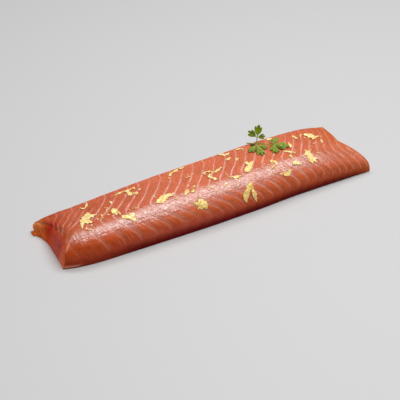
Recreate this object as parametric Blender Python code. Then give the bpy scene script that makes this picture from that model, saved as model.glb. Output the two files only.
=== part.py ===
"""Trimmed salmon fillet with flakes of gold leaf fused to it and a small herb sprig lying on top.

Metres, +Z up.  +X runs from the thick end to the thin end, -Y is the rounded front side.
The origin is under the middle of the fillet, on the flat underside.
Places on the fillet are given by the distance along it from the thick end and by the share of
the girth, which runs over the top from the front edge (0) to the back edge (1).
"""

import math
import random

import bmesh
import bpy
import numpy as np
from mathutils import Vector

# Driving dimensions
LENGTH = 0.300
WIDTH = 0.069
HEIGHT = 0.0295
GIRTH = 0.106              # over the top of the middle section, from front edge to back edge
MIDDLE = (0.1484, 0.0311)  # plan position of the origin, from the thick end's front corner
MM = 0.001
MERGE = 0.00001

# Profiles along the fillet: (share of the length, share of HEIGHT or WIDTH)
CREST_HEIGHT = [(0, 0.834), (0.04, 0.915), (0.15, 0.949), (0.45, 1), (0.7, 0.983), (0.86, 0.85),
                (1, 0.576)]
BACK_HEIGHT = [(0, 0.39), (0.03, 0.525), (0.07, 0.62), (0.14, 0.665), (0.24, 0.735), (0.36, 0.79),
               (0.5, 0.822), (0.8, 0.84), (0.9, 0.81), (1, 0.63)]
WIDTH_ALONG = [(0, 0.912), (0.2, 0.956), (0.5, 1), (0.8, 0.993), (1, 0.985)]
FRONT_EDGE = [(0, 0.012), (0.05, -0.045), (0.12, -0.072), (0.4, -0.078), (0.6, -0.055),
              (0.75, -0.018), (1, -0.007)]

# Cross-section: a block whose front shoulder is a wide rounding and whose back edge is a small one
FRONT_ROUND = 0.33         # shares of the width
BACK_ROUND = 0.12
CREST_LINE = 0.198
ROUND_POWER = 2.3
UNDERCUT = 0.012
CROWN = 0.02

# Thick end: offset of its foot and lean per metre of height, by distance from the front edge
THICK_END = [(0, -0.0009), (0.010, -0.0003), (0.025, 0.0004), (0.038, 0.0009), (0.048, -0.0007),
             (0.060, -0.0050)]
THICK_LEAN = [(0, 0.15), (0.033, 0.19), (0.048, 0.36), (0.060, 0.30)]

# Thin end: a slanted cut with a belly near the ground, a hollow in plan and a small notch
THIN_REACH = 0.0016
THIN_SLANT = -0.13
THIN_LEAN = -0.15
THIN_BELLY = 0.0014
THIN_BELLY_HEIGHT = 0.018
THIN_HOLLOW = 0.0028
THIN_HOLLOW_FROM = 0.002
THIN_HOLLOW_WIDTH = 0.064
THIN_NOTCH = 0.0020
THIN_NOTCH_AT = 0.036
THIN_NOTCH_WIDTH = 0.007

# Muscle segments.  Thin seams run in chevrons: (distance of the vertex along the fillet, seam number)
SEAM_AT = [(-0.035, -3), (-0.006, 0), (0.006, 1), (0.026, 2), (0.0395, 3), (0.0623, 5), (0.1083, 9),
           (0.1528, 13), (0.1856, 16), (0.2175, 19), (0.2476, 22), (0.2643, 24), (0.2893, 27),
           (0.304, 29)]
LAST_SEAM = 28
SEAM_VERTEX = 0.35         # share of the girth
FAN_DROP = 0.10            # how much lower the vertices are at the thick end, where the seams fan out
FAN_LENGTH = 0.034
# Run of the arm above the vertex, by share of the girth above it, and its factor along the fillet
HIGH_ARM_RUN = [(0, 0), (0.02, 0.001), (0.05, 0.003), (0.09, 0.0067), (0.17, 0.0141), (0.25, 0.0198),
                (0.33, 0.0254), (0.65, 0.031)]
HIGH_ARM = [(-0.035, 0.7), (0, 1.1), (0.030, 1.24), (0.075, 1.13), (0.120, 1.05), (0.210, 1.06),
            (0.240, 0.85), (0.266, 0.6), (0.290, 0.35), (0.300, 0.3)]
# Run of the arm below the vertex, and the share of the girth that it takes to turn to the ground
LOW_ARM = [(-0.010, 0.009), (0.016, 0.0114), (0.040, 0.0144), (0.065, 0.0212), (0.095, 0.0267),
           (0.140, 0.0264), (0.185, 0.0206), (0.235, 0.0142), (0.270, 0.0109), (0.300, 0.009)]
LOW_ARM_SHARE = [(0, 0.28), (0.100, 0.29), (0.180, 0.285), (0.235, 0.213), (0.300, 0.24)]

# Depth of the seams on the two sides and on the top plane, and where one turns into the other
RELIEF_SIDE = 0.0006
RELIEF_TOP = 0.00022
FRONT_TURN = (0.15, 0.35)
BACK_TURN = (0.72, 0.82)
FOOT_SHARE = 0.05

# Mesh lines: round the section and, along it, stations for each seam
FRONT_LINES = 13
TOP_LINES = 9
BACK_LINES = 8
TOP_SHARES = (0.34, 0.72)
STATIONS_PER_SEAM = 3
THICK_FADE = 0.070         # from each cut, where the stations turn from the cut's slant to the seams'
THIN_FADE = 0.045
CAP_ROWS = 4

# Gold leaf: millimetres along, share of the girth, length and width in millimetres, turn in degrees
GOLD_LEAVES = [
    (31, 0.42, 28, 8.5, 54), (39.5, 0.665, 12, 4, 50), (55, 0.40, 13, 6, 86),
    (60, 0.58, 6, 3.5, 70), (60, 0.295, 6.5, 5, 20), (66, 0.27, 7, 5, 60),
    (77.5, 0.667, 18, 4, 0), (80.5, 0.59, 10, 6.5, -50), (98, 0.355, 19, 7.5, 36),
    (121, 0.325, 7, 4.5, 45), (126.5, 0.20, 12, 8.5, -35), (125.5, 0.68, 13, 5, 12),
    (135, 0.695, 8, 4, 10), (133.5, 0.545, 8, 3, 60), (150, 0.50, 11, 5.5, 50),
    (147.5, 0.405, 13, 4.5, -65), (159, 0.485, 8, 4, 20), (178.5, 0.678, 9, 6, -10),
    (177, 0.588, 6, 5, 20), (182.5, 0.55, 8, 4.5, 75), (193.5, 0.66, 7, 4.5, -10),
    (188, 0.425, 11, 7, 20), (181.5, 0.368, 12, 6, 30), (167.5, 0.325, 9, 4.5, -10),
    (169.5, 0.152, 12, 6, 70), (175.5, 0.205, 8, 4.5, 40), (178, 0.115, 11, 4.5, 96),
    (207.5, 0.332, 9, 5.5, 65), (214.5, 0.207, 10, 4, -8), (227, 0.267, 7.5, 5, -25),
    (230, 0.43, 9, 4, -50), (244.5, 0.31, 18, 8.5, 84), (224.5, 0.665, 7, 4.5, 0),
    (237.5, 0.525, 8, 3, -70), (248.5, 0.61, 7, 5, -65), (265.5, 0.592, 13, 10, -45),
    (269.5, 0.505, 8, 4, 62),
]
GOLD_PROUD = 0.0007
GOLD_SUNK = 0.0012
GOLD_SIDES = 11
GOLD_INNER_RING = 0.55

# Herb sprig.  A spot is millimetres along the fillet, share of the girth and millimetres above it.
STEM_RADIUS = 0.0006
STEM_BOW = 0.0002
FAR_STEM_BOW = 0.0007
HIGH_STEM_BOW = 0.0003
STEM_FOOT = (206.5, 0.735, 1.2)
FORK = (212.5, 0.672, 1.6)
LOW_HUB = (209.8, 0.624, 2.6)
FAR_HUB = (223.5, 0.568, 1.9)
STALK_OVERLAP = 0.05

# The upright leaf leans back across the fillet; its leaflets are millimetres aside, up and wide
UPRIGHT_LEAN = math.radians(20)
UPRIGHT_SIDE = Vector((0.877, -0.480, 0))
UPRIGHT_STALK = 0.0058
UPRIGHT_SHIFT = 0.0005
UPRIGHT_LEAFLETS = [(-7.4, 5.0, 6.4), (1.8, 11.6, 7.4), (7.4, 0.8, 5.0)]

# Lying leaflets, in millimetres: along and across from the hub to the tip, lift of the tip, width
LOW_LEAFLETS = [(-9.4, 1.5, 0.9, 6.5), (8.2, -5.9, 1.3, 6), (-3.8, -14.0, 0.9, 8.5)]
FAR_LEAFLETS = [(7.0, 5.5, 5.0, 6), (2.8, 8.0, 4.0, 2.6), (11.6, -8.7, 1.6, 7.5),
                (-5.8, -6.5, 0.9, 3.4), (-4.3, -12.3, 0.9, 6)]
FOLDED_LEAFLET = (-5.2, 1.8, 0.8, 4)

# Form of one leaflet, as shares of its length or width
LEAF_THICKNESS = 0.0005
LEAFLET_STALK = 0.12
LEAFLET_WIDEST = 0.62
LEAFLET_TIP = 1.06
LEAFLET_LOBES = 0.10
LEAFLET_NOTCH = 0.07
LEAFLET_ARCH = 0.09
LEAFLET_FOLD = 0.05
LEAFLET_WAVE = 0.04


def curve(knots, u):
    """Smooth value at u through (position, value) knots; it never runs past the knots' own values."""
    at = np.array(knots, float)
    x = at[:, 0]
    y = at[:, 1]
    rise = np.diff(y) / np.diff(x)
    slope = np.concatenate([rise[:1], np.zeros(len(x) - 2), rise[-1:]])
    for k in range(1, len(x) - 1):
        if rise[k - 1] * rise[k] > 0:
            slope[k] = 2 * rise[k - 1] * rise[k] / (rise[k - 1] + rise[k])
    u = np.clip(u, x[0], x[-1])
    i = np.clip(np.searchsorted(x, u) - 1, 0, len(x) - 2)
    h = x[i + 1] - x[i]
    f = (u - x[i]) / h
    low = (2 * f**3 - 3 * f**2 + 1) * y[i] + (f**3 - 2 * f**2 + f) * h * slope[i]
    high = (3 * f**2 - 2 * f**3) * y[i + 1] + (f**3 - f**2) * h * slope[i + 1]
    return low + high


def ease(v):
    """Smooth step from 0 to 1."""
    v = np.clip(v, 0, 1)
    return v * v * (3 - 2 * v)


def between(limits, v):
    """Smooth step from 0 at the first limit to 1 at the second."""
    return ease((v - limits[0]) / (limits[1] - limits[0]))


def outline_table(steps=200):
    """Unit cross-section from front foot over the top to back foot: girth share, across, up."""
    angle = np.linspace(0, math.pi / 2, steps)
    power = 2 / ROUND_POWER
    up = np.sin(angle) ** power
    inward = 1 - np.cos(angle) ** power
    flat = np.linspace(FRONT_ROUND, 1 - BACK_ROUND, steps)[1:-1]
    across = np.concatenate([FRONT_ROUND * inward, flat, (1 - BACK_ROUND * inward)[::-1]])
    height = np.concatenate([up, np.ones(len(flat)), up[::-1]])
    run = np.hypot(np.diff(across) * WIDTH, np.diff(height) * HEIGHT)
    girth = np.concatenate([[0], np.cumsum(run)])
    return girth / girth[-1], across, height


ROUND_TABLE = outline_table()


def section(share, t):
    """Distance back from the front edge line and height, at a share of the length and of the girth."""
    crest = HEIGHT * curve(CREST_HEIGHT, share)
    back = HEIGHT * curve(BACK_HEIGHT, share)
    width = WIDTH * curve(WIDTH_ALONG, share)
    front = WIDTH * curve(FRONT_EDGE, share)
    across = np.interp(t, ROUND_TABLE[0], ROUND_TABLE[1])
    up = np.interp(t, ROUND_TABLE[0], ROUND_TABLE[2])
    tuck = UNDERCUT * (1 - up) ** 3 * np.where(across < 0.5, 1, -1)
    slope = np.clip((across - CREST_LINE) / (1 - BACK_ROUND - CREST_LINE), 0, 1)
    slope = (slope + ease(slope)) / 2
    top = crest + (back - crest) * slope + CROWN * crest * np.sin(math.pi * slope)
    return front + width * (across + tuck), top * up


def thick_end(y, z):
    """X of the thick end's cut face."""
    return curve(THICK_END, y) + curve(THICK_LEAN, y) * z


def thin_end(y, z):
    """X of the thin end's cut face."""
    belly = THIN_BELLY * np.sin(math.pi * np.clip(z / THIN_BELLY_HEIGHT, 0, 1))
    across = np.clip((y - THIN_HOLLOW_FROM) / THIN_HOLLOW_WIDTH, 0, 1)
    hollow = THIN_HOLLOW * np.sin(math.pi * across)
    notch = THIN_NOTCH * np.exp(-((y - THIN_NOTCH_AT) / THIN_NOTCH_WIDTH) ** 2)
    return LENGTH + THIN_REACH + THIN_SLANT * y + THIN_LEAN * z + belly - hollow - notch


def ends(t):
    """X of both ends at a share of the girth."""
    t = np.asarray(t, float)
    return thick_end(*section(np.zeros_like(t), t)), thin_end(*section(np.ones_like(t), t))


def surface(x, t):
    """Point of the smooth fillet at a distance along it and a share of the girth."""
    x, t = np.broadcast_arrays(np.asarray(x, float), np.asarray(t, float))
    left, right = ends(t)
    y, z = section(np.clip((x - left) / (right - left), 0, 1), t)
    return np.stack([x, y, z], -1)


def normal(x, t):
    """Outward direction of the smooth fillet."""
    step_x = 0.0005
    step_t = 0.004
    along = surface(x + step_x, t) - surface(x - step_x, t)
    round_ = surface(x, t + step_t) - surface(x, t - step_t)
    n = np.cross(along, round_)
    return n / np.linalg.norm(n, axis=-1, keepdims=True)


def arm(v, t):
    """How far a seam has run towards the thin end, at girth share t, from its vertex at v."""
    vertex = SEAM_VERTEX - FAN_DROP * np.clip(1 - v / FAN_LENGTH, 0, 1)
    below = (vertex - t) / curve(LOW_ARM_SHARE, v)
    return curve(HIGH_ARM_RUN, t - vertex) * curve(HIGH_ARM, v) + curve(LOW_ARM, v) * ease(below)


def seam_phase(x, t):
    """A number that grows along the fillet and is whole on each seam."""
    v = x - arm(x, t)
    for _ in range(8):
        v = (v + x - arm(v, t)) / 2
    return curve(SEAM_AT, v)


def relief(x, t):
    """Height of the muscle segments over the smooth surface, lowest in the seams."""
    share = np.mod(seam_phase(x, t), 1)
    bulge = 1 - np.abs(2 * share - 1) ** 3
    sides = 1 - between(FRONT_TURN, t) + between(BACK_TURN, t)
    depth = RELIEF_TOP + (RELIEF_SIDE - RELIEF_TOP) * sides
    foot = ease(t / FOOT_SHARE) * ease((1 - t) / FOOT_SHARE)
    return depth * (bulge - 1) * foot


def skin(x, t):
    """Point of the fillet with its relief."""
    return surface(x, t) + normal(x, t) * relief(x, t)[..., None]


def place(points):
    """Move points from the thick end's front corner to the origin under the middle."""
    return np.asarray(points) - np.array([MIDDLE[0], MIDDLE[1], 0])


def new_object(name, verts, faces):
    """A mesh object with its faces pointing outward."""
    mesh = bpy.data.meshes.new(name)
    mesh.from_pydata([tuple(v) for v in verts], [], faces)
    bm = bmesh.new()
    bm.from_mesh(mesh)
    bmesh.ops.remove_doubles(bm, verts=bm.verts, dist=MERGE)
    bmesh.ops.recalc_face_normals(bm, faces=bm.faces)
    bm.to_mesh(mesh)
    bm.free()
    obj = bpy.data.objects.new(name, mesh)
    bpy.context.scene.collection.objects.link(obj)
    return obj


def add_material(obj, colour, roughness):
    """Give obj a plain material of its own."""
    material = bpy.data.materials.new(obj.name)
    material.use_nodes = True
    shader = material.node_tree.nodes["Principled BSDF"]
    shader.inputs["Base Color"].default_value = (*colour, 1)
    shader.inputs["Roughness"].default_value = roughness
    shader.inputs["Metallic"].default_value = 0
    obj.data.materials.clear()
    obj.data.materials.append(material)


def union(obj, pieces):
    """Fuse the pieces to obj and remove them."""
    group = bpy.data.collections.new("pieces")
    bpy.context.scene.collection.children.link(group)
    for piece in pieces:
        bpy.context.scene.collection.objects.unlink(piece)
        group.objects.link(piece)
    fuse = obj.modifiers.new("fuse", "BOOLEAN")
    fuse.operation = "UNION"
    fuse.solver = "EXACT"
    fuse.operand_type = "COLLECTION"
    fuse.collection = group
    bpy.context.view_layer.objects.active = obj
    bpy.ops.object.modifier_apply(modifier=fuse.name)
    for piece in list(group.objects):
        bpy.data.objects.remove(piece)
    bpy.data.collections.remove(group)


def drop_scraps(obj):
    """Keep the largest connected body."""
    bm = bmesh.new()
    bm.from_mesh(obj.data)
    left = set(bm.verts)
    bodies = []
    while left:
        stack = [left.pop()]
        body = set(stack)
        while stack:
            for edge in stack.pop().link_edges:
                for vert in edge.verts:
                    if vert in left:
                        left.discard(vert)
                        body.add(vert)
                        stack.append(vert)
        bodies.append(body)
    bodies.sort(key=len)
    for body in bodies[:-1]:
        bmesh.ops.delete(bm, geom=list(body), context="VERTS")
    bm.to_mesh(obj.data)
    bm.free()


def girth_shares():
    """Girth shares of the lengthwise mesh lines: closer round the shoulder and the back edge."""
    front = np.linspace(0, TOP_SHARES[0], FRONT_LINES)
    top = np.linspace(*TOP_SHARES, TOP_LINES + 1)[1:]
    back = np.linspace(TOP_SHARES[1], 1, BACK_LINES + 1)[1:]
    return np.concatenate([front, top, back])


def station_values():
    """Mesh stations along the fillet: one in each seam and the others between neighbours."""
    inverse = [(number, distance) for distance, number in SEAM_AT]
    phases = np.arange(LAST_SEAM * STATIONS_PER_SEAM + 1) / STATIONS_PER_SEAM
    return curve(inverse, phases)


def make_fillet():
    """The fillet as one closed solid, with its stations running along the seams."""
    t = girth_shares()
    v = station_values()
    left, right = ends(t)
    share = (v - v[0]) / (v[-1] - v[0])
    grow = ease(share * LENGTH / THICK_FADE) * ease((1 - share) * LENGTH / THIN_FADE)
    x = left + (right - left) * share[:, None] + arm(v[:, None], t) * grow[:, None]
    grid = skin(x, np.broadcast_to(t, x.shape))
    grid[:, 0, 2] = 0
    grid[:, -1, 2] = 0
    stations, lines = x.shape
    verts = list(grid.reshape(-1, 3))
    faces = []
    for i in range(stations - 1):
        for j in range(lines - 1):
            a = i * lines + j
            faces.append((a, a + lines, a + lines + 1, a + 1))
    thick_foot = cap(verts, faces, 0, lines, thick_end)
    thin_foot = cap(verts, faces, (stations - 1) * lines, lines, thin_end)
    front_foot = [i * lines for i in range(stations)]
    back_foot = [i * lines + lines - 1 for i in range(stations)]
    faces.append(front_foot + thin_foot + back_foot[::-1] + thick_foot[::-1])
    return new_object("salmon_fillet", place(verts), faces)


def cap(verts, faces, first, lines, face_x):
    """Fill an end between the rim of the top and the ground; returns the ground points between the feet."""
    rim = np.array(verts[first:first + lines])
    ground_y = np.linspace(rim[0, 1], rim[-1, 1], lines)
    previous = list(range(first, first + lines))
    for row in range(1, CAP_ROWS + 1):
        part = row / CAP_ROWS
        current = [previous[0]]
        for j in range(1, lines - 1):
            y = rim[j, 1] * (1 - part) + ground_y[j] * part
            z = rim[j, 2] * (1 - part)
            shift = rim[j, 0] - float(face_x(rim[j, 1], rim[j, 2]))
            verts.append(np.array([float(face_x(y, z)) + shift * (1 - part), y, z]))
            current.append(len(verts) - 1)
        current.append(previous[-1])
        for j in range(lines - 1):
            corners = [previous[j], previous[j + 1], current[j + 1], current[j]]
            faces.append(list(dict.fromkeys(corners)))
        previous = current
    return previous[1:-1]


def gold_outline(draw, length, width):
    """Ragged outline of one leaf of gold, in metres round its middle."""
    points = []
    for k in range(GOLD_SIDES):
        angle = math.tau * (k + draw.uniform(-0.3, 0.3)) / GOLD_SIDES
        reach = draw.uniform(0.72, 1.12)
        points.append((length / 2 * reach * math.cos(angle), width / 2 * reach * math.sin(angle)))
    return points


def make_gold(index, x, t, length, width, turn):
    """One crumpled leaf of gold that follows the fillet and is sunk into it."""
    draw = random.Random(index)
    outline = gold_outline(draw, length * MM, width * MM)
    rim = [(a, b, draw.uniform(0.45, 0.75)) for a, b in outline]
    inner = [(a * GOLD_INNER_RING, b * GOLD_INNER_RING, draw.uniform(0.7, 1.5)) for a, b in outline]
    local = np.array(rim + inner + [(0, 0, 1)])
    cos = math.cos(math.radians(turn))
    sin = math.sin(math.radians(turn))
    along = x * MM + local[:, 0] * cos - local[:, 1] * sin
    round_ = t + (local[:, 0] * sin + local[:, 1] * cos) / GIRTH
    base = surface(along, round_)
    out = normal(along, round_)
    top = base + out * GOLD_PROUD * local[:, 2:]
    bottom = base - out * GOLD_SUNK
    n = GOLD_SIDES
    under = len(local)
    faces = []
    for k in range(n):
        m = (k + 1) % n
        for corners in ((k, m, n + m), (k, n + m, n + k), (n + k, n + m, 2 * n)):
            faces.append(corners)
            faces.append([under + corner for corner in reversed(corners)])
        faces += [(m, k, under + k), (m, under + k, under + m)]
    return new_object("gold_%02d" % index, place(np.concatenate([top, bottom])), faces)


def spot(along, round_, lift):
    """Point above the fillet: millimetres along, share of the girth, millimetres above."""
    return Vector(surface(along * MM, round_) + normal(along * MM, round_) * lift * MM)


def tube(name, start, end, bow=(0, 0, 0), rings=7, sides=6):
    """Closed stem from start to end, bowed at its middle."""
    verts = []
    faces = []
    direction = (end - start).normalized()
    across = direction.cross(Vector((0.3, 0.9, 0.2))).normalized()
    other = direction.cross(across)
    for i in range(rings):
        f = i / (rings - 1)
        centre = start.lerp(end, f) + Vector(bow) * math.sin(math.pi * f)
        for k in range(sides):
            angle = math.tau * k / sides
            verts.append(centre + STEM_RADIUS * (math.cos(angle) * across + math.sin(angle) * other))
    for i in range(rings - 1):
        for k in range(sides):
            a = i * sides + k
            b = i * sides + (k + 1) % sides
            faces.append((a, b, b + sides, a + sides))
    faces.append(tuple(range(sides)))
    faces.append(tuple(range((rings - 1) * sides, rings * sides)))
    return new_object(name, place(verts), faces)


def half_width(u):
    """Half width of a leaflet, as a share of its widest, from its stalk (0) to its tip (1)."""
    if u < LEAFLET_WIDEST:
        wedge = LEAFLET_STALK + (1 - LEAFLET_STALK) * (u / LEAFLET_WIDEST) ** 1.15
    else:
        wedge = math.sqrt(1 - ((u - LEAFLET_WIDEST) / (LEAFLET_TIP - LEAFLET_WIDEST)) ** 2)
    return wedge * (1 + LEAFLET_LOBES * math.sin(u * 4.2 * math.pi))


def leaflet(name, root, tip, side, width, rows=7, columns=4):
    """A thin wavy wedge-shaped leaflet with two faces cut alike."""
    side = side.normalized()
    forward = (tip - root).normalized()
    face = side.cross(forward).normalized()
    length = (tip - root).length
    width = width * MM
    upper = []
    for i in range(rows):
        u = i / (rows - 1)
        for j in range(columns + 1):
            w = 2 * j / columns - 1
            notch = LEAFLET_NOTCH * length * math.cos(2.5 * math.pi * w) * u * u
            arch = LEAFLET_ARCH * length * math.sin(math.pi * u) + LEAFLET_FOLD * width * (abs(w) - 0.5)
            wave = LEAFLET_WAVE * length * math.sin(7 * u + 2 * w) * u * (1 - u)
            middle = root.lerp(tip, u) + forward * notch
            upper.append(middle + side * w * half_width(u) * width / 2 + face * (arch + wave))
    half = face * LEAF_THICKNESS / 2
    verts = [p + half for p in upper] + [p - half for p in upper]
    count = len(upper)
    faces = []
    for i in range(rows - 1):
        for j in range(columns):
            a = i * (columns + 1) + j
            b = a + columns + 1
            faces += [(a, b, b + 1), (a, b + 1, a + 1)]
            faces += [(count + b + 1, count + b, count + a), (count + a + 1, count + b + 1, count + a)]
    last = (rows - 1) * (columns + 1)
    edge = list(range(columns + 1))
    edge += [i * (columns + 1) + columns for i in range(1, rows)]
    edge += list(range(last + columns - 1, last - 1, -1))
    edge += [i * (columns + 1) for i in range(rows - 2, 0, -1)]
    for k, a in enumerate(edge):
        b = edge[(k + 1) % len(edge)]
        faces += [(a, b, count + b), (a, count + b, count + a)]
    return new_object(name, place(verts), faces)


def lying_leaflet(name, hub, along, across, lift, width):
    """A leaflet from a hub spot to a tip given by its distance along and across the fillet."""
    root = spot(*hub)
    tip = spot(hub[0] + along, hub[1] + across * MM / GIRTH, lift)
    up = Vector(normal(hub[0] * MM, hub[1]))
    return leaflet(name, root, tip, (tip - root).cross(up), width)


def make_sprig():
    """The sprig: a forked stem with one upright and two lying leaves, all one solid."""
    foot = spot(*STEM_FOOT)
    fork = spot(*FORK)
    low_hub = spot(*LOW_HUB)
    far_hub = spot(*FAR_HUB)
    back = Vector((-UPRIGHT_SIDE.y, UPRIGHT_SIDE.x, 0))
    rise = back * math.sin(UPRIGHT_LEAN) + Vector((0, 0, math.cos(UPRIGHT_LEAN)))
    high_hub = fork + rise * UPRIGHT_STALK + UPRIGHT_SIDE * UPRIGHT_SHIFT
    sprig = tube("herb_sprig", foot, fork + (fork - foot) * STALK_OVERLAP, (0, 0, STEM_BOW))
    parts = [tube("far_stem", fork, far_hub, (0, 0, FAR_STEM_BOW)),
             tube("low_stem", fork, low_hub, rings=3),
             tube("high_stem", fork, high_hub, (HIGH_STEM_BOW, 0, 0), rings=5)]
    for index, (aside, up, width) in enumerate(UPRIGHT_LEAFLETS):
        tip = high_hub + (UPRIGHT_SIDE * aside + rise * up) * MM
        across = (tip - high_hub).cross(rise.cross(UPRIGHT_SIDE))
        parts.append(leaflet("high_%d" % index, high_hub, tip, across, width))
    for index, (along, across, lift, width) in enumerate(LOW_LEAFLETS):
        parts.append(lying_leaflet("low_%d" % index, LOW_HUB, along, across, lift, width))
    for index, (along, across, lift, width) in enumerate(FAR_LEAFLETS):
        parts.append(lying_leaflet("far_%d" % index, FAR_HUB, along, across, lift, width))
    parts.append(lying_leaflet("folded", FORK, *FOLDED_LEAFLET))
    union(sprig, parts)
    drop_scraps(sprig)
    add_material(sprig, (0.10, 0.22, 0.03), 0.5)
    sprig.data.shade_smooth()


def clear_scene():
    """Remove whatever the scene holds."""
    for obj in list(bpy.data.objects):
        bpy.data.objects.remove(obj)


def main():
    clear_scene()
    fillet = make_fillet()
    gold = [make_gold(index, *leaf) for index, leaf in enumerate(GOLD_LEAVES)]
    union(fillet, gold)
    drop_scraps(fillet)
    add_material(fillet, (0.61, 0.12, 0.05), 0.35)
    fillet.data.shade_smooth()
    make_sprig()


main()
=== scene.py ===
import math
import random

import bpy
import numpy as np
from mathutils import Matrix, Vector, noise


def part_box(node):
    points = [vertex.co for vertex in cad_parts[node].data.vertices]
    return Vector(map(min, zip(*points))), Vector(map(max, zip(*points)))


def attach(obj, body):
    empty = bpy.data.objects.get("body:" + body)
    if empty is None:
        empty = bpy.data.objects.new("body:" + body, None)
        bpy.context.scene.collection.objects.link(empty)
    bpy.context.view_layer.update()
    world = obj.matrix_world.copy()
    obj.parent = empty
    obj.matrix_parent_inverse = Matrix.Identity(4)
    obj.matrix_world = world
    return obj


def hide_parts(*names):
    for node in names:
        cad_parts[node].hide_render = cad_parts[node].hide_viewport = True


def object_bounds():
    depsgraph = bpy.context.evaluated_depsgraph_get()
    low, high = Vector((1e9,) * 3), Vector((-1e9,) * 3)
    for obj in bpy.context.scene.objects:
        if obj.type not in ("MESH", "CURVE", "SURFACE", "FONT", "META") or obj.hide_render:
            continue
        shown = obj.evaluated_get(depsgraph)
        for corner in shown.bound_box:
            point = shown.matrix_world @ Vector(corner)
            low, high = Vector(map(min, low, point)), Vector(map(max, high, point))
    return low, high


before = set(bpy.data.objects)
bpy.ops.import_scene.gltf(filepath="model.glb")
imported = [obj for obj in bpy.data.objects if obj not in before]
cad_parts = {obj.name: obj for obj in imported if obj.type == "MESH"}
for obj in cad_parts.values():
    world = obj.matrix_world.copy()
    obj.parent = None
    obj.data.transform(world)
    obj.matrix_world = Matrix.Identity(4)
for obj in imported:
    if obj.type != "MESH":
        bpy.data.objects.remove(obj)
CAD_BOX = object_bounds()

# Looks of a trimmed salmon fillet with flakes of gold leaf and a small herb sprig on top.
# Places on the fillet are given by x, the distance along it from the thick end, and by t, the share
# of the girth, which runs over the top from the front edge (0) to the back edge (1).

MM = 0.001

# Driving dimensions of the fillet
LENGTH = 0.300
WIDTH = 0.069
HEIGHT = 0.0295
GIRTH = 0.106
MIDDLE = (0.1484, 0.0311)   # of the whole part's box, from the thick end's front corner

# Profiles along the fillet: (share of the length, share of HEIGHT or WIDTH)
CREST_HEIGHT = [(0, 0.834), (0.04, 0.915), (0.15, 0.949), (0.45, 1), (0.7, 0.983), (0.86, 0.85),
                (1, 0.576)]
BACK_HEIGHT = [(0, 0.39), (0.03, 0.525), (0.07, 0.62), (0.14, 0.665), (0.24, 0.735), (0.36, 0.79),
               (0.5, 0.822), (0.8, 0.84), (0.9, 0.81), (1, 0.63)]
WIDTH_ALONG = [(0, 0.912), (0.2, 0.956), (0.5, 1), (0.8, 0.993), (1, 0.985)]
FRONT_EDGE = [(0, 0.012), (0.05, -0.045), (0.12, -0.072), (0.4, -0.078), (0.6, -0.055),
              (0.75, -0.018), (1, -0.007)]
FRONT_ROUND = 0.33
BACK_ROUND = 0.12
CREST_LINE = 0.198
ROUND_POWER = 2.3
UNDERCUT = 0.012
CROWN = 0.02
THICK_END = [(0, -0.0009), (0.010, -0.0003), (0.025, 0.0004), (0.038, 0.0009), (0.048, -0.0007),
             (0.060, -0.0050)]
THICK_LEAN = [(0, 0.15), (0.033, 0.19), (0.048, 0.36), (0.060, 0.30)]
THIN_REACH = 0.0016
THIN_SLANT = -0.13
THIN_LEAN = -0.15
THIN_BELLY = 0.0014
THIN_BELLY_HEIGHT = 0.018
THIN_HOLLOW = 0.0028
THIN_HOLLOW_FROM = 0.002
THIN_HOLLOW_WIDTH = 0.064
THIN_NOTCH = 0.0020
THIN_NOTCH_AT = 0.036
THIN_NOTCH_WIDTH = 0.007

# Muscle segments: (distance of the seam's vertex along the fillet, seam number)
SEAM_AT = [(-0.035, -3), (-0.006, 0), (0.006, 1), (0.026, 2), (0.0395, 3), (0.0623, 5), (0.1083, 9),
           (0.1528, 13), (0.1856, 16), (0.2175, 19), (0.2476, 22), (0.2643, 24), (0.2893, 27),
           (0.304, 29)]
SEAM_ROUNDS = 8             # steps in which the vertex of a point's seam is found
SEAM_VERTEX = 0.35
FAN_DROP = 0.10
FAN_LENGTH = 0.034
HIGH_BEND = 0.33
FAN_STRAIGHT = 0.055
HIGH_ARM_RUN = [(0, 0), (0.02, 0.001), (0.05, 0.003), (0.09, 0.0067), (0.17, 0.0141), (0.25, 0.0198),
                (0.33, 0.0254), (0.65, 0.031)]
HIGH_ARM = [(-0.035, 0.7), (0, 1.1), (0.030, 1.24), (0.075, 1.13), (0.120, 1.05), (0.210, 1.06),
            (0.240, 0.85), (0.266, 0.6), (0.290, 0.35), (0.300, 0.3)]
LOW_ARM = [(-0.010, 0.009), (0.016, 0.0114), (0.040, 0.0144), (0.065, 0.0212), (0.095, 0.0267),
           (0.140, 0.0264), (0.185, 0.0206), (0.235, 0.0142), (0.270, 0.0109), (0.300, 0.009)]
LOW_ARM_SHARE = [(0, 0.28), (0.100, 0.29), (0.180, 0.285), (0.235, 0.213), (0.300, 0.24)]
RELIEF_SIDE = 0.0006
RELIEF_TOP = 0.00022
FRONT_TURN = (0.15, 0.35)
BACK_TURN = (0.60, 0.74)
FOOT_SHARE = 0.05

# Fine skin of the flesh
STATIONS = 540
LINES = 156
CAP_ROWS = 30
CAP_CROWDING = 1.3          # above 1, the rows of a cut end lie closer near its rim
THICK_FADE = 0.070          # near each end, over this length, the mesh's stations stop leaning
THIN_FADE = 0.045
SEAM_GROOVE = 0.00016       # depth of the groove in a seam
SEAM_GROOVE_WIDTH = 0.45    # its half width, in millimetres
BACK_FLATTER = 0.6          # share of the relief that is missing on the back
SIDE_SMOOTHER = 0.7         # share of the grooves' depth that is missing off the top plane
FEWEST_SEAMS = 20           # to the metre
FOOT_TUCK_SHARE = 0.035

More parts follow.
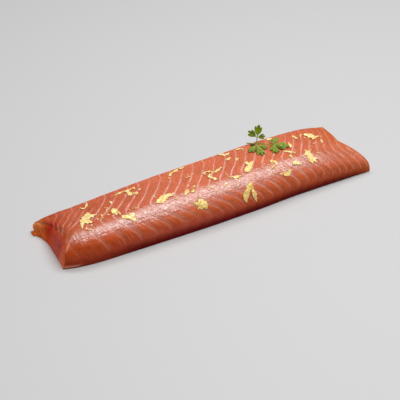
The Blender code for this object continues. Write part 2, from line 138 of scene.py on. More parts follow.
# Rims of both ends: radius by girth share, and how far behind the thick one the ridge runs that gets a
# painted highlight line
THICK_ROUND = [(0, 0.002), (0.16, 0.003), (0.22, 0.0055), (0.30, 0.010), (0.40, 0.010), (0.52, 0.006),
               (0.68, 0.0045), (0.78, 0.002), (1, 0.001)]
THIN_ROUND = [(0, 0.0022), (1, 0.0022)]
RIDGE_AT = [(0.15, 0.001), (0.22, 0.0045), (0.30, 0.010), (0.36, 0.014)]

# How far the bottom edges are rounded in, by distance along the fillet
FOOT_TUCK = [(0, 0.0003), (0.17, 0.0004), (0.25, 0.0008), (0.30, 0.0010)]

# Thick end's flap, from the girth shares where it starts to where it is full, and the tear in it
FLAP_FROM = (0.66, 0.76)
TEAR_AT = 0.905
TEAR_WIDTH = 0.034
TEAR_DEPTH = 0.0095
TEAR_FADE = 0.010
TEAR_DOWN = (0.3, 0.9)      # shares of the way down the cut between which the tear closes
TIP_TRIM = 0.0038           # how much shorter the flap's rim is at the ground
TIP_TRIM_FROM = (0.92, 0.98)
TIP_BULGE = 0.0026          # how far the flap's lower tip stands out below the tear
TIP_AT = 0.90
TIP_WIDTH = 0.05
TIP_DOWN = (0.4, 0.85)
FOOT_INSET = 0.0008         # how far the foot of the cut is set in
FOOT_DOWN = (0.75, 1)
HOLLOW_AT = 0.57            # girth share of the painted shade in the cut's dark red hollow
HOLLOW_WIDTH = 0.085
HOLLOW_DEPTH = 0.016        # how far it reaches down from the rim

# Uneven surfaces and lines, each made of noise layers given as (size, reach)
SEAM_WANDER = [(0.014, 0.0007), (0.005, 0.00025)]
LUMPS = [(0.016, 0.00022), (0.006, 0.00010), (0.0024, 0.00005)]
CUT_LUMPS = [(0.010, 0.0007), (0.004, 0.0003)]
TEAR_JAGS = [(0.012, 0.0005)]
HIGHLIGHT_EDGE = [(0.006, 0.022), (0.0022, 0.014)]     # its reach is in girth shares
GOLD_TEAR = [(0.0030, 0.0010), (0.0012, 0.0008)]
GOLD_CRUMPLE = [(0.0026, 0.00050), (0.0011, 0.00026)]

# Gold leaf.  Each flake is a few strokes; a stroke is a run of spots (millimetres along, share of
# the girth, width in millimetres).
GOLD_FLAKES = [
    [[(22, .32, 1.6), (24, .36, 2.8), (27, .41, 6), (31, .45, 8), (34.5, .495, 6), (37, .545, 2)],
     [(33.5, .47, 8), (36.5, .468, 6), (39.8, .465, 3.2)], [(29, .40, 7), (31.5, .375, 4.5)]],
    [[(35.5, .675, 1.5), (37.5, .635, 2), (40.5, .655, 3), (43, .69, 2.5), (43.5, .71, 1.5)]],
    [[(56, .455, 2), (55.5, .43, 5), (54.8, .40, 6), (54.8, .365, 2.5)],
     [(57, .39, 2), (57.4, .345, 1.2)]],
    [[(60, .60, 1.2), (60, .575, 2.5), (59.5, .555, 2)]],
    [[(57.5, .314, 4), (60, .298, 5), (62, .286, 3.5)], [(62.5, .278, 4), (65.5, .298, 5)],
     [(64.5, .285, 5.5), (65.5, .262, 4.5)]],
    [[(68.5, .66, 2), (73, .665, 3), (79, .66, 2.5), (86.5, .66, 2.5)],
     [(80, .65, 2), (79.5, .62, 5), (78.5, .585, 5), (78, .56, 2)], [(82, .585, 3), (84.5, .592, 2)],
     [(84.8, .575, 2.5), (82.5, .545, 2.5)]],
    [[(89, .335, 2), (93, .34, 4.5), (96.5, .355, 6), (97.5, .385, 4), (98.5, .41, 1.6)],
     [(97, .355, 6), (101, .375, 6), (105, .375, 5)], [(95.5, .335, 4), (95, .316, 2.5)]],
    [[(117, .325, 2), (119.5, .345, 4.5), (121.5, .365, 2.5)], [(124.2, .33, 3), (126.5, .348, 1.4)]],
    [[(120.5, .230, 2.4), (123.5, .220, 5), (126.5, .212, 9), (128.5, .205, 7)],
     [(125.5, .245, 3), (127.5, .235, 5)], [(128.5, .200, 6), (130, .178, 3)],
     [(122.8, .195, 1.2), (122.8, .158, .9)]],
    [[(121.5, .655, 2.2), (123, .675, 3), (126, .69, 3), (129.5, .69, 4), (129.5, .668, 1.6)],
     [(130.5, .70, 1.5), (134.5, .705, 2.8), (138, .706, 1)]],
    [[(130.5, .535, 1.2), (134, .545, 2), (133.5, .575, 1)]],
    [[(146.5, .495, 2.2), (147, .52, 2.2), (150, .532, 1.8), (153, .515, 3), (154, .495, 2),
      (152.5, .478, 1.3), (150, .468, 1.8), (148, .45, 3.2), (147, .44, 2.5)],
     [(148, .44, 3), (149.5, .41, 3.2), (150.3, .385, 3.5), (150.3, .368, 1.8)]],
    [[(156.5, .488, 2.8), (160, .495, 3), (164, .512, 1.4)]],
    [[(176, .705, 3), (179, .695, 4), (182, .68, 3), (184, .69, 2)]],
    [[(176.5, .605, 3), (178.5, .615, 4.2), (180, .62, 2.5)]],
    [[(185, .598, 1.6), (184.5, .575, 3.6), (183.5, .55, 2.2)]],
    [[(193, .70, 2), (196, .69, 3), (198, .69, 2.5)], [(196.5, .675, 2.2), (197, .66, 1.6)]],
    [[(187.5, .475, 2.8), (187, .45, 3.5), (188.5, .43, 5), (192, .44, 3.5), (192.8, .458, 1.6)],
     [(188, .425, 3), (185.2, .395, 6.5), (182.3, .372, 7), (179.3, .355, 4)]],
    [[(163.5, .352, 1.4), (165.5, .34, 3), (168.5, .328, 3.5), (171.5, .325, 2.2)]],
    [[(177, .245, 1.4), (175, .225, 4.5), (172, .20, 5), (169.3, .172, 6.5), (168.5, .145, 4.2),
      (168.8, .110, 1.2)],
     [(175.5, .228, 3.5), (177, .19, 3.6), (177.2, .155, 5), (178.2, .12, 3), (178.5, .085, 1.2)]],
    [[(205.5, .365, 1.5), (208, .375, 2.5), (209.8, .355, 3), (209.5, .325, 2.2)],
     [(204, .30, 2.5), (206, .315, 1.4)]],
    [[(207.5, .232, 1.6), (210.5, .222, 2.6), (213.5, .214, 4.5), (216.5, .220, 4.5), (218.5, .238, 2)]],
    [[(224, .285, 2), (226, .285, 4), (229, .278, 4), (230.5, .263, 1.6)]],
    [[(227.5, .465, 2), (229.5, .45, 3), (231.5, .42, 3)], [(231.5, .42, 1.5), (235, .405, 1.5)],
     [(228.8, .395, 1.6), (227.5, .37, 2.5), (227, .358, 1.4)]],
    [[(245.5, .39, 3), (245, .36, 5), (244.5, .33, 6.5), (244.5, .30, 7), (243, .27, 5),
      (242.3, .243, 2)],
     [(247, .37, 3), (250.5, .39, 1.4)], [(242, .345, 3), (239.5, .343, 1.2)],
     [(246, .29, 4), (249.3, .278, 1.8)], [(246, .27, 3), (246.5, .25, 2)]],
    [[(226, .70, 2), (228.5, .695, 4), (230, .69, 2)]],
    [[(239, .567, 2.2), (238.5, .53, 3), (236.5, .49, 1.8)]],
    [[(250.3, .65, 1.8), (249.5, .625, 3.5), (250.5, .598, 2.6)]],
    [[(262.5, .62, 4), (266, .612, 5.5), (268.5, .617, 2.5)],
     [(264.5, .585, 6.5), (267, .57, 6), (265, .545, 3.5)],
     [(269, .57, 2.6), (272.3, .57, 1.6)]],
    [[(271.5, .52, 1.8), (270, .49, 2.4), (268.5, .47, 1.4)]],
]
# Crumbs of gold: millimetres along, share of the girth, size in millimetres
GOLD_CRUMBS = [
    (89, .605, 2.8), (92.5, .60, 1.2), (108.5, .376, 2.6), (107.7, .313, 1.4), (118.6, .622, 2.6),
    (126.5, .368, 1.2), (138.8, .556, 1.8), (141.3, .308, 2.2), (143.4, .265, 1.8), (138.7, .29, 1.4),
    (155.5, .32, 1.6), (153, .285, 1.3), (155.8, .30, 1.2), (162, .37, 1.8), (160.5, .40, 1.1),
    (173.5, .645, 1.7), (171.5, .545, 1.4), (204.5, .265, 1.6), (218, .655, 2.4), (215, .66, 1.6),
    (233, .39, 1.3), (254, .328, 1.9), (256, .614, 1.6), (258.5, .577, 2.2), (262, .48, 2), (260, .47, 1),
    (276.5, .573, 1.8), (275, .562, 1.1), (77.3, .50, 2), (56, .49, 1.7), (45, .405, 1.8),
    (43, .395, 1.2),
    (38.4, .379, 1.8), (53, .50, 1.1), (51.3, .475, 1), (52, .52, .9), (49.8, .46, .9), (42, .38, .9),
    (54.5, .51, .8), (237, .44, 1.3), (192.3, .345, 1.2), (199.5, .37, 1), (66.5, .345, .9),
]
# Places where dust of gold lies: millimetres along, share of the girth, how many grains
GOLD_DUST = [(47.5, .415, 13), (53, .50, 8), (27, .315, 7), (70, .37, 7), (96, .42, 5), (128, .385, 6),
             (142, .29, 6), (161, .36, 7), (203, .30, 9), (232, .36, 7), (256, .60, 5)]
DUST_SPREAD = 2.6           # millimetres
DUST_SIZE = (1.05, 1.4)
CRUMB_LEAST = (1.2, 0.95)   # least widths of a crumb's two spots, in millimetres
SIDE_REFLECTION_BELOW = (0.30, 0.20)  # girth shares between which flakes get a painted deeper-yellow reflection
GOLD_CELL = 0.0003          # cells of the grid that a flake is cut from
GOLD_SHRINK = 0.00033       # how much smaller the torn outline is than its strokes
GOLD_LIFT = 0.00008
GOLD_THICKNESS = 0.00008

# Herb sprig.  A spot is millimetres along the fillet, share of the girth and millimetres above it.
STEM_RADIUS = 0.0005
STEM_TAPER = 0.7
STEM_RIB = 0.08
STEM_RINGS = 14
STEM_SIDES = 10
STEM_SIDEWAYS = Vector((0.3, 0.9, 0.2))     # no stem runs along it
STEM_FOOT = (206.5, 0.735, 1.2)
FORK = (212.5, 0.672, 1.6)
LOW_HUB = (209.8, 0.624, 2.6)
FAR_HUB = (223.5, 0.568, 1.9)
UPRIGHT_LEAN = math.radians(20)
UPRIGHT_SIDE = Vector((0.877, -0.480, 0))
UPRIGHT_STALK = 0.0058
UPRIGHT_SHIFT = 0.0005
UPRIGHT_LEAFLETS = [(-8.0, 6.0, 8.4), (1.8, 11.8, 9.0), (7.6, 1.2, 6.0)]   # tip aside and up, width
# painted shade of the upright leaf, on a scale from the folded leaflet's deep shade (0) to the lit lying
# leaves (1)
UPRIGHT_SHADE = 0.2
# Lying leaves and a folded leaflet: their hub, painted light (0 is the folded leaflet's deep shade)
# and seed, then for each leaflet its tip, in millimetres along and across the fillet from the hub and
# above the fillet, and its width
LYING_LEAVES = [
    (LOW_HUB, 0.75, 10, [(-10.4, -2.5, 0.9, 9), (8.6, -6.2, 1.3, 7), (-3.8, -15.0, 0.9, 9.5)]),
    (FAR_HUB, 0.9, 20, [(7.0, 5.5, 6.0, 7.5), (2.8, 8.0, 4.0, 3.5), (12.2, -8.0, 1.8, 16.5),
                        (-5.8, -6.5, 0.9, 5), (-4.3, -12.3, 0.9, 8)]),
    (FORK, 0.0, 30, [(-5.2, 1.8, 0.8, 4)]),
]
LEAF_ROWS = 22
LEAF_COLUMNS = 24
LEAF_THICKNESS = 0.00028
LEAF_ROOT = 0.00022         # half width where a leaflet meets its stalk
LEAF_WIDEST = 0.74          # share of a leaflet's length where its width is measured
LEAF_SHOULDER = 0.34        # how much shorter a leaflet is at its sides
LEAF_LOBES = 3
LEAF_NOTCH = 0.22           # share of a leaflet's length that its notches take up
LYING_NOTCH = (0.13, 0.012)     # the same for lying ones: at no width, and more per millimetre
LEAF_NOTCH_DRAW = (0.85, 1.15)
LEAF_SKEW = 0.05
LEAF_VEINS = (-0.66, 0, 0.66)
LEAF_VEIN_HEIGHT = 0.00022
LEAF_VEIN_WIDTH = 0.075
LEAF_ARCH = 0.10
LEAF_WAVE = 0.030
LEAF_PUCKER = 0.0004

# Camera and lights
CAMERA_TARGET = (-0.00484, 0.00370, 0)
CAMERA_AZIMUTH = math.radians(-28.69)
CAMERA_ELEVATION = math.radians(35)
CAMERA_DISTANCE = 0.999156
CAMERA_ANGLE = math.radians(20)
# Soft lights: name, place, size and power.  A large one is above, and a weaker one behind it.
SOFT_LIGHTS = [("softbox", (0.20, -0.27, 1.20), (1.4, 0.5), 12.6),
               ("back_light", (0.20, 0.50, 1.10), (1.4, 0.25), 6.0)]
SKY = 0.19
FLOOR_COLOUR = (0.60, 0.60, 0.605)
FLOOR_HALF = 4.0
FLOOR_GAP = 0.0002


def curve(knots, u):
    """Smooth value at u through (position, value) knots; it never runs past the knots' own values."""
    at = np.array(knots, float)
    x = at[:, 0]
    y = at[:, 1]
    rise = np.diff(y) / np.diff(x)
    slope = np.concatenate([rise[:1], np.zeros(len(x) - 2), rise[-1:]])
    for k in range(1, len(x) - 1):
        if rise[k - 1] * rise[k] > 0:
            slope[k] = 2 * rise[k - 1] * rise[k] / (rise[k - 1] + rise[k])
    u = np.clip(u, x[0], x[-1])
    i = np.clip(np.searchsorted(x, u) - 1, 0, len(x) - 2)
    h = x[i + 1] - x[i]
    f = (u - x[i]) / h
    low = (2 * f**3 - 3 * f**2 + 1) * y[i] + (f**3 - 2 * f**2 + f) * h * slope[i]
    high = (3 * f**2 - 2 * f**3) * y[i + 1] + (f**3 - f**2) * h * slope[i + 1]
    return low + high


def ease(v):
    """Smooth step from 0 to 1."""
    v = np.clip(v, 0, 1)
    return v * v * (3 - 2 * v)


def between(limits, v):
    """Smooth step from 0 at the first limit to 1 at the second."""
    return ease((v - limits[0]) / (limits[1] - limits[0]))


def window(limits, v):
    """Smooth step up between the first two limits and down between the last two."""
    return between(limits[:2], v) * between((limits[3], limits[2]), v)


def bell(away, width):
    """Bell curve that is 1 at 0 and almost 0 at twice the width."""
    return np.exp(-(away / width) ** 2)


def outline_table(steps=200):
    """Unit cross-section from front foot over the top to back foot: girth share, across, up."""
    angle = np.linspace(0, math.pi / 2, steps)
    power = 2 / ROUND_POWER
    up = np.sin(angle) ** power
    inward = 1 - np.cos(angle) ** power
    flat = np.linspace(FRONT_ROUND, 1 - BACK_ROUND, steps)[1:-1]
    across = np.concatenate([FRONT_ROUND * inward, flat, (1 - BACK_ROUND * inward)[::-1]])
    height = np.concatenate([up, np.ones(len(flat)), up[::-1]])
    run = np.hypot(np.diff(across) * WIDTH, np.diff(height) * HEIGHT)
    girth = np.concatenate([[0], np.cumsum(run)])
    return girth / girth[-1], across, height


ROUND_TABLE = outline_table()


def section(share, t):
    """Distance back from the front edge line and height, at a share of the length and of the girth."""
    crest = HEIGHT * curve(CREST_HEIGHT, share)
    back = HEIGHT * curve(BACK_HEIGHT, share)
    width = WIDTH * curve(WIDTH_ALONG, share)
    front = WIDTH * curve(FRONT_EDGE, share)
    across = np.interp(t, ROUND_TABLE[0], ROUND_TABLE[1])
    up = np.interp(t, ROUND_TABLE[0], ROUND_TABLE[2])
    tuck = UNDERCUT * (1 - up) ** 3 * np.where(across < 0.5, 1, -1)
    slope = np.clip((across - CREST_LINE) / (1 - BACK_ROUND - CREST_LINE), 0, 1)
    slope = (slope + ease(slope)) / 2
    top = crest + (back - crest) * slope + CROWN * crest * np.sin(math.pi * slope)
    return front + width * (across + tuck), top * up


def thick_end(y, z):
    """X of the thick end's cut face."""
    return curve(THICK_END, y) + curve(THICK_LEAN, y) * z


def thin_end(y, z):
    """X of the thin end's cut face."""
    belly = THIN_BELLY * np.sin(math.pi * np.clip(z / THIN_BELLY_HEIGHT, 0, 1))
    across = np.clip((y - THIN_HOLLOW_FROM) / THIN_HOLLOW_WIDTH, 0, 1)
    hollow = THIN_HOLLOW * np.sin(math.pi * across)
    notch = THIN_NOTCH * bell(y - THIN_NOTCH_AT, THIN_NOTCH_WIDTH)
    return LENGTH + THIN_REACH + THIN_SLANT * y + THIN_LEAN * z + belly - hollow - notch


def ends(t):
    """X of both ends at a share of the girth."""
    t = np.asarray(t, float)
    return thick_end(*section(np.zeros_like(t), t)), thin_end(*section(np.ones_like(t), t))


def surface(x, t):
    """Point of the smooth fillet at a distance along it and a share of the girth."""
    x, t = np.broadcast_arrays(np.asarray(x, float), np.asarray(t, float))
    left, right = ends(t)
    y, z = section(np.clip((x - left) / (right - left), 0, 1), t)
    return np.stack([x, y, z], -1)


def normal(x, t):
    """Outward direction of the smooth fillet."""
    step_x = 0.0005
    step_t = 0.004
    along = surface(x + step_x, t) - surface(x - step_x, t)
    around = surface(x, t + step_t) - surface(x, t - step_t)
    n = np.cross(along, around)
    return n / np.linalg.norm(n, axis=-1, keepdims=True)


def arm(v, t):
    """How far a seam has run towards the thin end, at girth share t, from its vertex at v."""
    drop = FAN_DROP * np.clip(1 - v / FAN_LENGTH, 0, 1)
    vertex = SEAM_VERTEX - drop
    above = curve(HIGH_ARM_RUN, t - vertex) + FAN_STRAIGHT * np.clip(t - vertex - HIGH_BEND, 0, drop)
    below = (vertex - t) / curve(LOW_ARM_SHARE, v)
    return above * curve(HIGH_ARM, v) + curve(LOW_ARM, v) * ease(below)


def seam_phase(x, t):
    """A number that grows along the fillet and is whole on each seam."""
    v = x - arm(x, t)
    for _ in range(SEAM_ROUNDS):
        v = (v + x - arm(v, t)) / 2
    return curve(SEAM_AT, v)


def noise_at(points, size, seed):
    """Smooth noise from -1 to 1 with features of that size at each of the points."""
    shift = Vector((seed * 17.3, seed * 5.1, seed * 9.7))
    flat = np.asarray(points, float).reshape(-1, 3) / size
    values = [noise.noise(Vector(p) + shift) for p in flat.tolist()]
    return np.array(values).reshape(np.shape(points)[:-1])


def noise_sum(points, layers, seed):
    """Sum of noise layers given as (size, reach)."""
    return sum(reach * noise_at(points, size, seed + k) for k, (size, reach) in enumerate(layers))


def wandering_phase(x, t):
    """The seam number with the seams' natural waviness."""
    base = surface(x, t)
    return seam_phase(x + noise_sum(base, SEAM_WANDER, 1), t)


def fine_relief(x, t, phase, pitch):
    """Height of the fine skin over the smooth surface."""
    bulge = 1 - np.abs(2 * np.mod(phase, 1) - 1) ** 2
    sides = 1 - between(FRONT_TURN, t)
    back = between(BACK_TURN, t)
    depth = (RELIEF_TOP + (RELIEF_SIDE - RELIEF_TOP) * sides) * (1 - BACK_FLATTER * back)
    distance = np.abs(phase - np.round(phase)) * pitch / MM
    groove = SEAM_GROOVE * bell(distance, SEAM_GROOVE_WIDTH)
    groove = groove * (1 - SIDE_SMOOTHER * np.maximum(sides, back))
    foot = ease(t / FOOT_SHARE) * ease((1 - t) / FOOT_SHARE)
    return (depth * (bulge - 1) - groove + noise_sum(surface(x, t), LUMPS, 5)) * foot


def seam_pitch(x, t):
    """Distance between neighbouring seams, measured square to them."""
    step = 0.0006
    turn = step / GIRTH
    along = (seam_phase(x + step, t) - seam_phase(x - step, t)) / (2 * step)
    around = (seam_phase(x, t + turn) - seam_phase(x, t - turn)) / (2 * step)
    return 1 / np.maximum(np.hypot(along, around), FEWEST_SEAMS)


def skin(x, t):
    """Point of the fillet with its fine relief."""
    phase = wandering_phase(x, t)
    height = fine_relief(x, t, phase, seam_pitch(x, t))
    return surface(x, t) + normal(x, t) * height[..., None]


def grid_faces(rows, columns):
    """Quads between the points of a grid that is stored row by row."""
    corners = [row * columns + column for row in range(rows - 1) for column in range(columns - 1)]
    return [(a, a + columns, a + columns + 1, a + 1) for a in corners]


def sheet_faces(polygons, count):
    """Faces of a thin closed sheet: polygons above, the same below, and a wall round their border.

    The point below each point comes count places after it."""
    faces = [tuple(p) for p in polygons]
    faces += [tuple(count + k for k in reversed(p)) for p in polygons]
    edges = dict.fromkeys(edge for p in polygons for edge in zip(p, p[1:] + p[:1]))
    return faces + [(b, a, count + a, count + b) for a, b in edges if (b, a) not in edges]


def add_object(name, data, place=(0, 0, 0), direction=None):
    """A new object in the scene, which faces a direction if one is given."""
    thing = bpy.data.objects.new(name, data)
    thing.location = place
    if direction is not None:
        thing.rotation_mode = "QUATERNION"
        thing.rotation_quaternion = direction.to_track_quat("-Z", "Y")
    bpy.context.scene.collection.objects.link(thing)
    return thing


def make_piece(name, verts, faces, material, node, fields, box=CAD_BOX):
    """A mesh piece on the root body, kept inside a box, with values for each of its points.

    Its points are moved from the thick end's front corner to the origin under the middle."""
    points = np.clip(np.asarray(verts) - (*MIDDLE, 0), *np.array(box))
    mesh = bpy.data.meshes.new(name)
    mesh.from_pydata(points.tolist(), [], faces)
    for field, values in fields.items():
        layer = mesh.attributes.new(field, "FLOAT", "POINT")
        layer.data.foreach_set("value", np.asarray(values, np.float32))
    mesh.materials.append(material)
    mesh.shade_smooth()
    piece = add_object(name, mesh)
    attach(piece, "root")
    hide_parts(node)


# ---- materials ------------------------------

NOISE_RANGE = (0.3, 0.7)    # most of a noise node's values lie in it


class Look:
    """A node material, with a short method for each kind of node in it."""

    def __init__(self, name):
        self.material = bpy.data.materials.new(name)
        self.material.use_nodes = True
        self.tree = self.material.node_tree
        self.point = self.stretched((1, 1, 1))

    def connect(self, socket, value):
        """Link a socket, or set it where the value is plain."""
        if isinstance(value, bpy.types.NodeSocket):
            self.tree.links.new(value, socket)
        elif isinstance(value, tuple) and len(socket.default_value) == 4:
            socket.default_value = (*value, 1)
        else:
            socket.default_value = value

    def shader(self, **values):
        """Link or set the Principled shader's sockets, named with _ for a space."""
        for name, value in values.items():
            socket = self.tree.nodes["Principled BSDF"].inputs[name.replace("_", " ")]
            self.connect(socket, value)

    def node(self, kind, inputs, output=0, **settings):
        """An output of a new node; its inputs are given by number or name."""
        node = self.tree.nodes.new("ShaderNode" + kind)
        for name, value in settings.items():
            setattr(node, name, value)
        for key, value in inputs.items():
            self.connect(node.inputs[key], value)
        return node.outputs[output]

    def field(self, name):
        """A value stored at the mesh's points."""
        return self.node("Attribute", {}, "Fac", attribute_name=name)

    def stretched(self, stretch):
        """Object coordinates in metres, stretched."""
        point = self.node("TexCoord", {}, "Object")
        return self.node("VectorMath", {0: point, 1: stretch}, operation="MULTIPLY")

    def math(self, operation, a, b=0.0):
        return self.node("Math", {0: a, 1: b}, operation=operation)

    def times(self, *values):
        """Product of the values."""
        product = values[0]
        for value in values[1:]:
            product = self.math("MULTIPLY", product, value)
        return product

    def step(self, value, low, high, out_low=0.0, out_high=1.0):
        """Smooth step from out_low, where value is low, to out_high, where it is high."""
        inputs = dict(enumerate((value, low, high, out_low, out_high)))
        return self.node("MapRange", inputs, interpolation_type="SMOOTHSTEP")

    def mix(self, share, a, b, blend="MIX"):
        """Colour between a and b."""
        return self.node("Mix", {0: share, 6: a, 7: b}, 2, data_type="RGBA", blend_type=blend)

    def mix_value(self, share, a, b):
        return self.node("Mix", {0: share, 2: a, 3: b})

    def darken(self, colour, value):
        """Colour times a plain value."""
        grey = self.node("CombineColor", {0: value, 1: value, 2: value})
        return self.mix(1.0, colour, grey, "MULTIPLY")

    def noise(self, scale, detail, roughness=0.5, point=None):
        """Noise with that many features to the metre."""
        point = self.point if point is None else point
        inputs = {"Vector": point, "Scale": scale, "Detail": detail, "Roughness": roughness}
        return self.node("TexNoise", inputs, "Fac")

    def varied(self, scale, detail, low=0.0, high=1.0):
        """Noise that runs from low to high."""
        return self.step(self.noise(scale, detail), *NOISE_RANGE, low, high)

    def relief(self, *layers):
        """Bumps on top of each other, each given as its height, metres and strength."""
        under = {}
        for height, distance, strength in layers:
            inputs = {"Height": height, "Distance": distance, "Strength": strength, **under}
            under = {"Normal": self.node("Bump", inputs)}
        return under["Normal"]


FLESH_TOP = (0.675, 0.148, 0.061)
FLESH_CREST = (0.60, 0.155, 0.064)
FLESH_SHOULDER = (0.72, 0.130, 0.032)
FLESH_SIDE = (0.60, 0.098, 0.016)
# painted sheen: pink above the front foot, standing for the pale floor's reflection
PINK_SHEEN_COLOUR = (0.54, 0.088, 0.046)
# painted shade: dark red along the bottom edges of the flesh
FOOT_SHADE_COLOUR = (0.16, 0.003, 0.003)
FLESH_CUT = (0.75, 0.095, 0.015)
DEEP_SHADE = (0.96, 0.82, 0.72)
BAND_COLOUR = (0.70, 0.26, 0.17)
SEAM_COLOUR = (0.89, 0.50, 0.43)
HEM_COLOUR = (0.90, 0.42, 0.34)
# painted highlight: pale glints on the crest and dark specks between them
GLINT_COLOUR = (0.98, 0.72, 0.66)
GLINT_GAP_COLOUR = (0.42, 0.03, 0.01)
# painted glow of light through the thin edges of the ends and the flap's torn tips
RIM_GLOW_COLOUR = (0.66, 0.13, 0.020)
# painted sheen: purple-pink glancing reflection on the thick end's cut
CUT_SHEEN_COLOUR = (0.66, 0.088, 0.056)
FRINGE_GLOW_COLOUR = (0.95, 0.42, 0.16)
# painted light: the thin flap at the thick end, lit from above and glowing through
FLAP_LIGHT_COLOUR = (0.95, 0.225, 0.035)
# painted shade: the dark red of the thick end's hollow
FOLD_SHADE_COLOUR = (0.55, 0.010, 0.004)

# Zones of colour round the girth, each from the share where it starts to the one where it is full
CREST_ZONE = (0.14, 0.24)
SHOULDER_RISE = (0.15, 0.19)
SHOULDER_FALL = (0.26, 0.22)
TOP_ZONE = (0.29, 0.38)
BACK_ZONE = (0.76, 0.86)
# painted sheen of the floor above the front foot
PINK_SHEEN_ZONE = (0.155, 0.09)
# painted shade along the front and back feet
FRONT_FOOT_ZONE = (0.10, 0.015)
BACK_FOOT_ZONE = (0.89, 0.985)
ABOVE_FOOT = (0.05, 0.16)
GLOSSY_TOP = (0.17, 0.245)
FIBRES = (9.0, 13.0)        # fibres in a muscle segment and round the girth


def flesh_base(look, at):
    """Flesh colour without seams and fibres: zones round the girth, then cuts and rims, with painted light
    and shade.
    """
    girth = at["girth"]
    crest = look.times(look.step(girth, *CREST_ZONE), at["glossy"])
    shoulder = look.times(look.step(girth, *SHOULDER_RISE), look.step(girth, *SHOULDER_FALL))
    # painted floor sheen above the front foot
    pink_sheen = look.times(look.step(girth, *PINK_SHEEN_ZONE), at["thick_end_fade"], look.mix_value(at["lined"], 1.0, 0.4))
    # painted shade along the front and back feet
    low = look.math("MAXIMUM", look.step(girth, *FRONT_FOOT_ZONE), look.step(girth, *BACK_FOOT_ZONE))
    # painted glow at the flap's thin tips
    fringe_glow = look.math("MINIMUM", look.times(at["flap"], at["rim"], 1.7), 1.0)
    layers = [(crest, FLESH_CREST),
              (shoulder, FLESH_SHOULDER),
              (look.step(girth, *TOP_ZONE), FLESH_TOP),
              (look.step(girth, *BACK_ZONE), FLESH_SIDE),
              (pink_sheen, PINK_SHEEN_COLOUR),
              (look.times(low, at["thick_end_fade"]), FOOT_SHADE_COLOUR),
              (at["hem"], HEM_COLOUR),
              (at["cut"], FLESH_CUT),
              (at["rim"], RIM_GLOW_COLOUR),
              (at["cut_sheen"], CUT_SHEEN_COLOUR),
              (look.times(at["flap"], 0.8), FLAP_LIGHT_COLOUR),
              (fringe_glow, FRINGE_GLOW_COLOUR),
              # painted shade in the thick end's hollow
              (look.times(at["fold"], 0.9), FOLD_SHADE_COLOUR),
              # painted highlight on the ridge, in the seams' colour
              (look.times(at["ridge_highlight"], 0.8), SEAM_COLOUR)]
    colour = FLESH_SIDE
    for share, paint in layers:
        colour = look.mix(share, colour, paint)
    colour = look.mix(at["deep"], colour, DEEP_SHADE, "MULTIPLY")
    return look.darken(colour, look.varied(60, 3, 0.94, 1.07))


def seam_lines(look, at, past, ahead):
    """How much of the seams' colour shows: crisp thin lines on top, faint ones on the sides."""
    girth = at["girth"]
    width = look.times(look.varied(170, 2, 0.75, 1.4), look.step(girth, 0.36, 0.56, 1.3, 0.95))
    line = look.step(look.math("MINIMUM", past, ahead), width, 0.1)
    midway = look.math("ABSOLUTE", look.math("SUBTRACT", past, ahead))
    line = look.math("MAXIMUM", line, look.times(look.step(midway, 2.2, 0.4), at["fan"], 0.7))
    clear = look.mix_value(at["soft"], 0.92, look.mix_value(at["lined"], 0.12, 0.45))
    broken = look.step(look.noise(190, 3), 0.32, 0.62, 0.35, 1.0)
    towards_back = look.step(girth, 0.45, 0.72, 1.0, 0.4)
    return look.times(line, clear, broken, at["strength"], look.step(girth, *ABOVE_FOOT), towards_back)


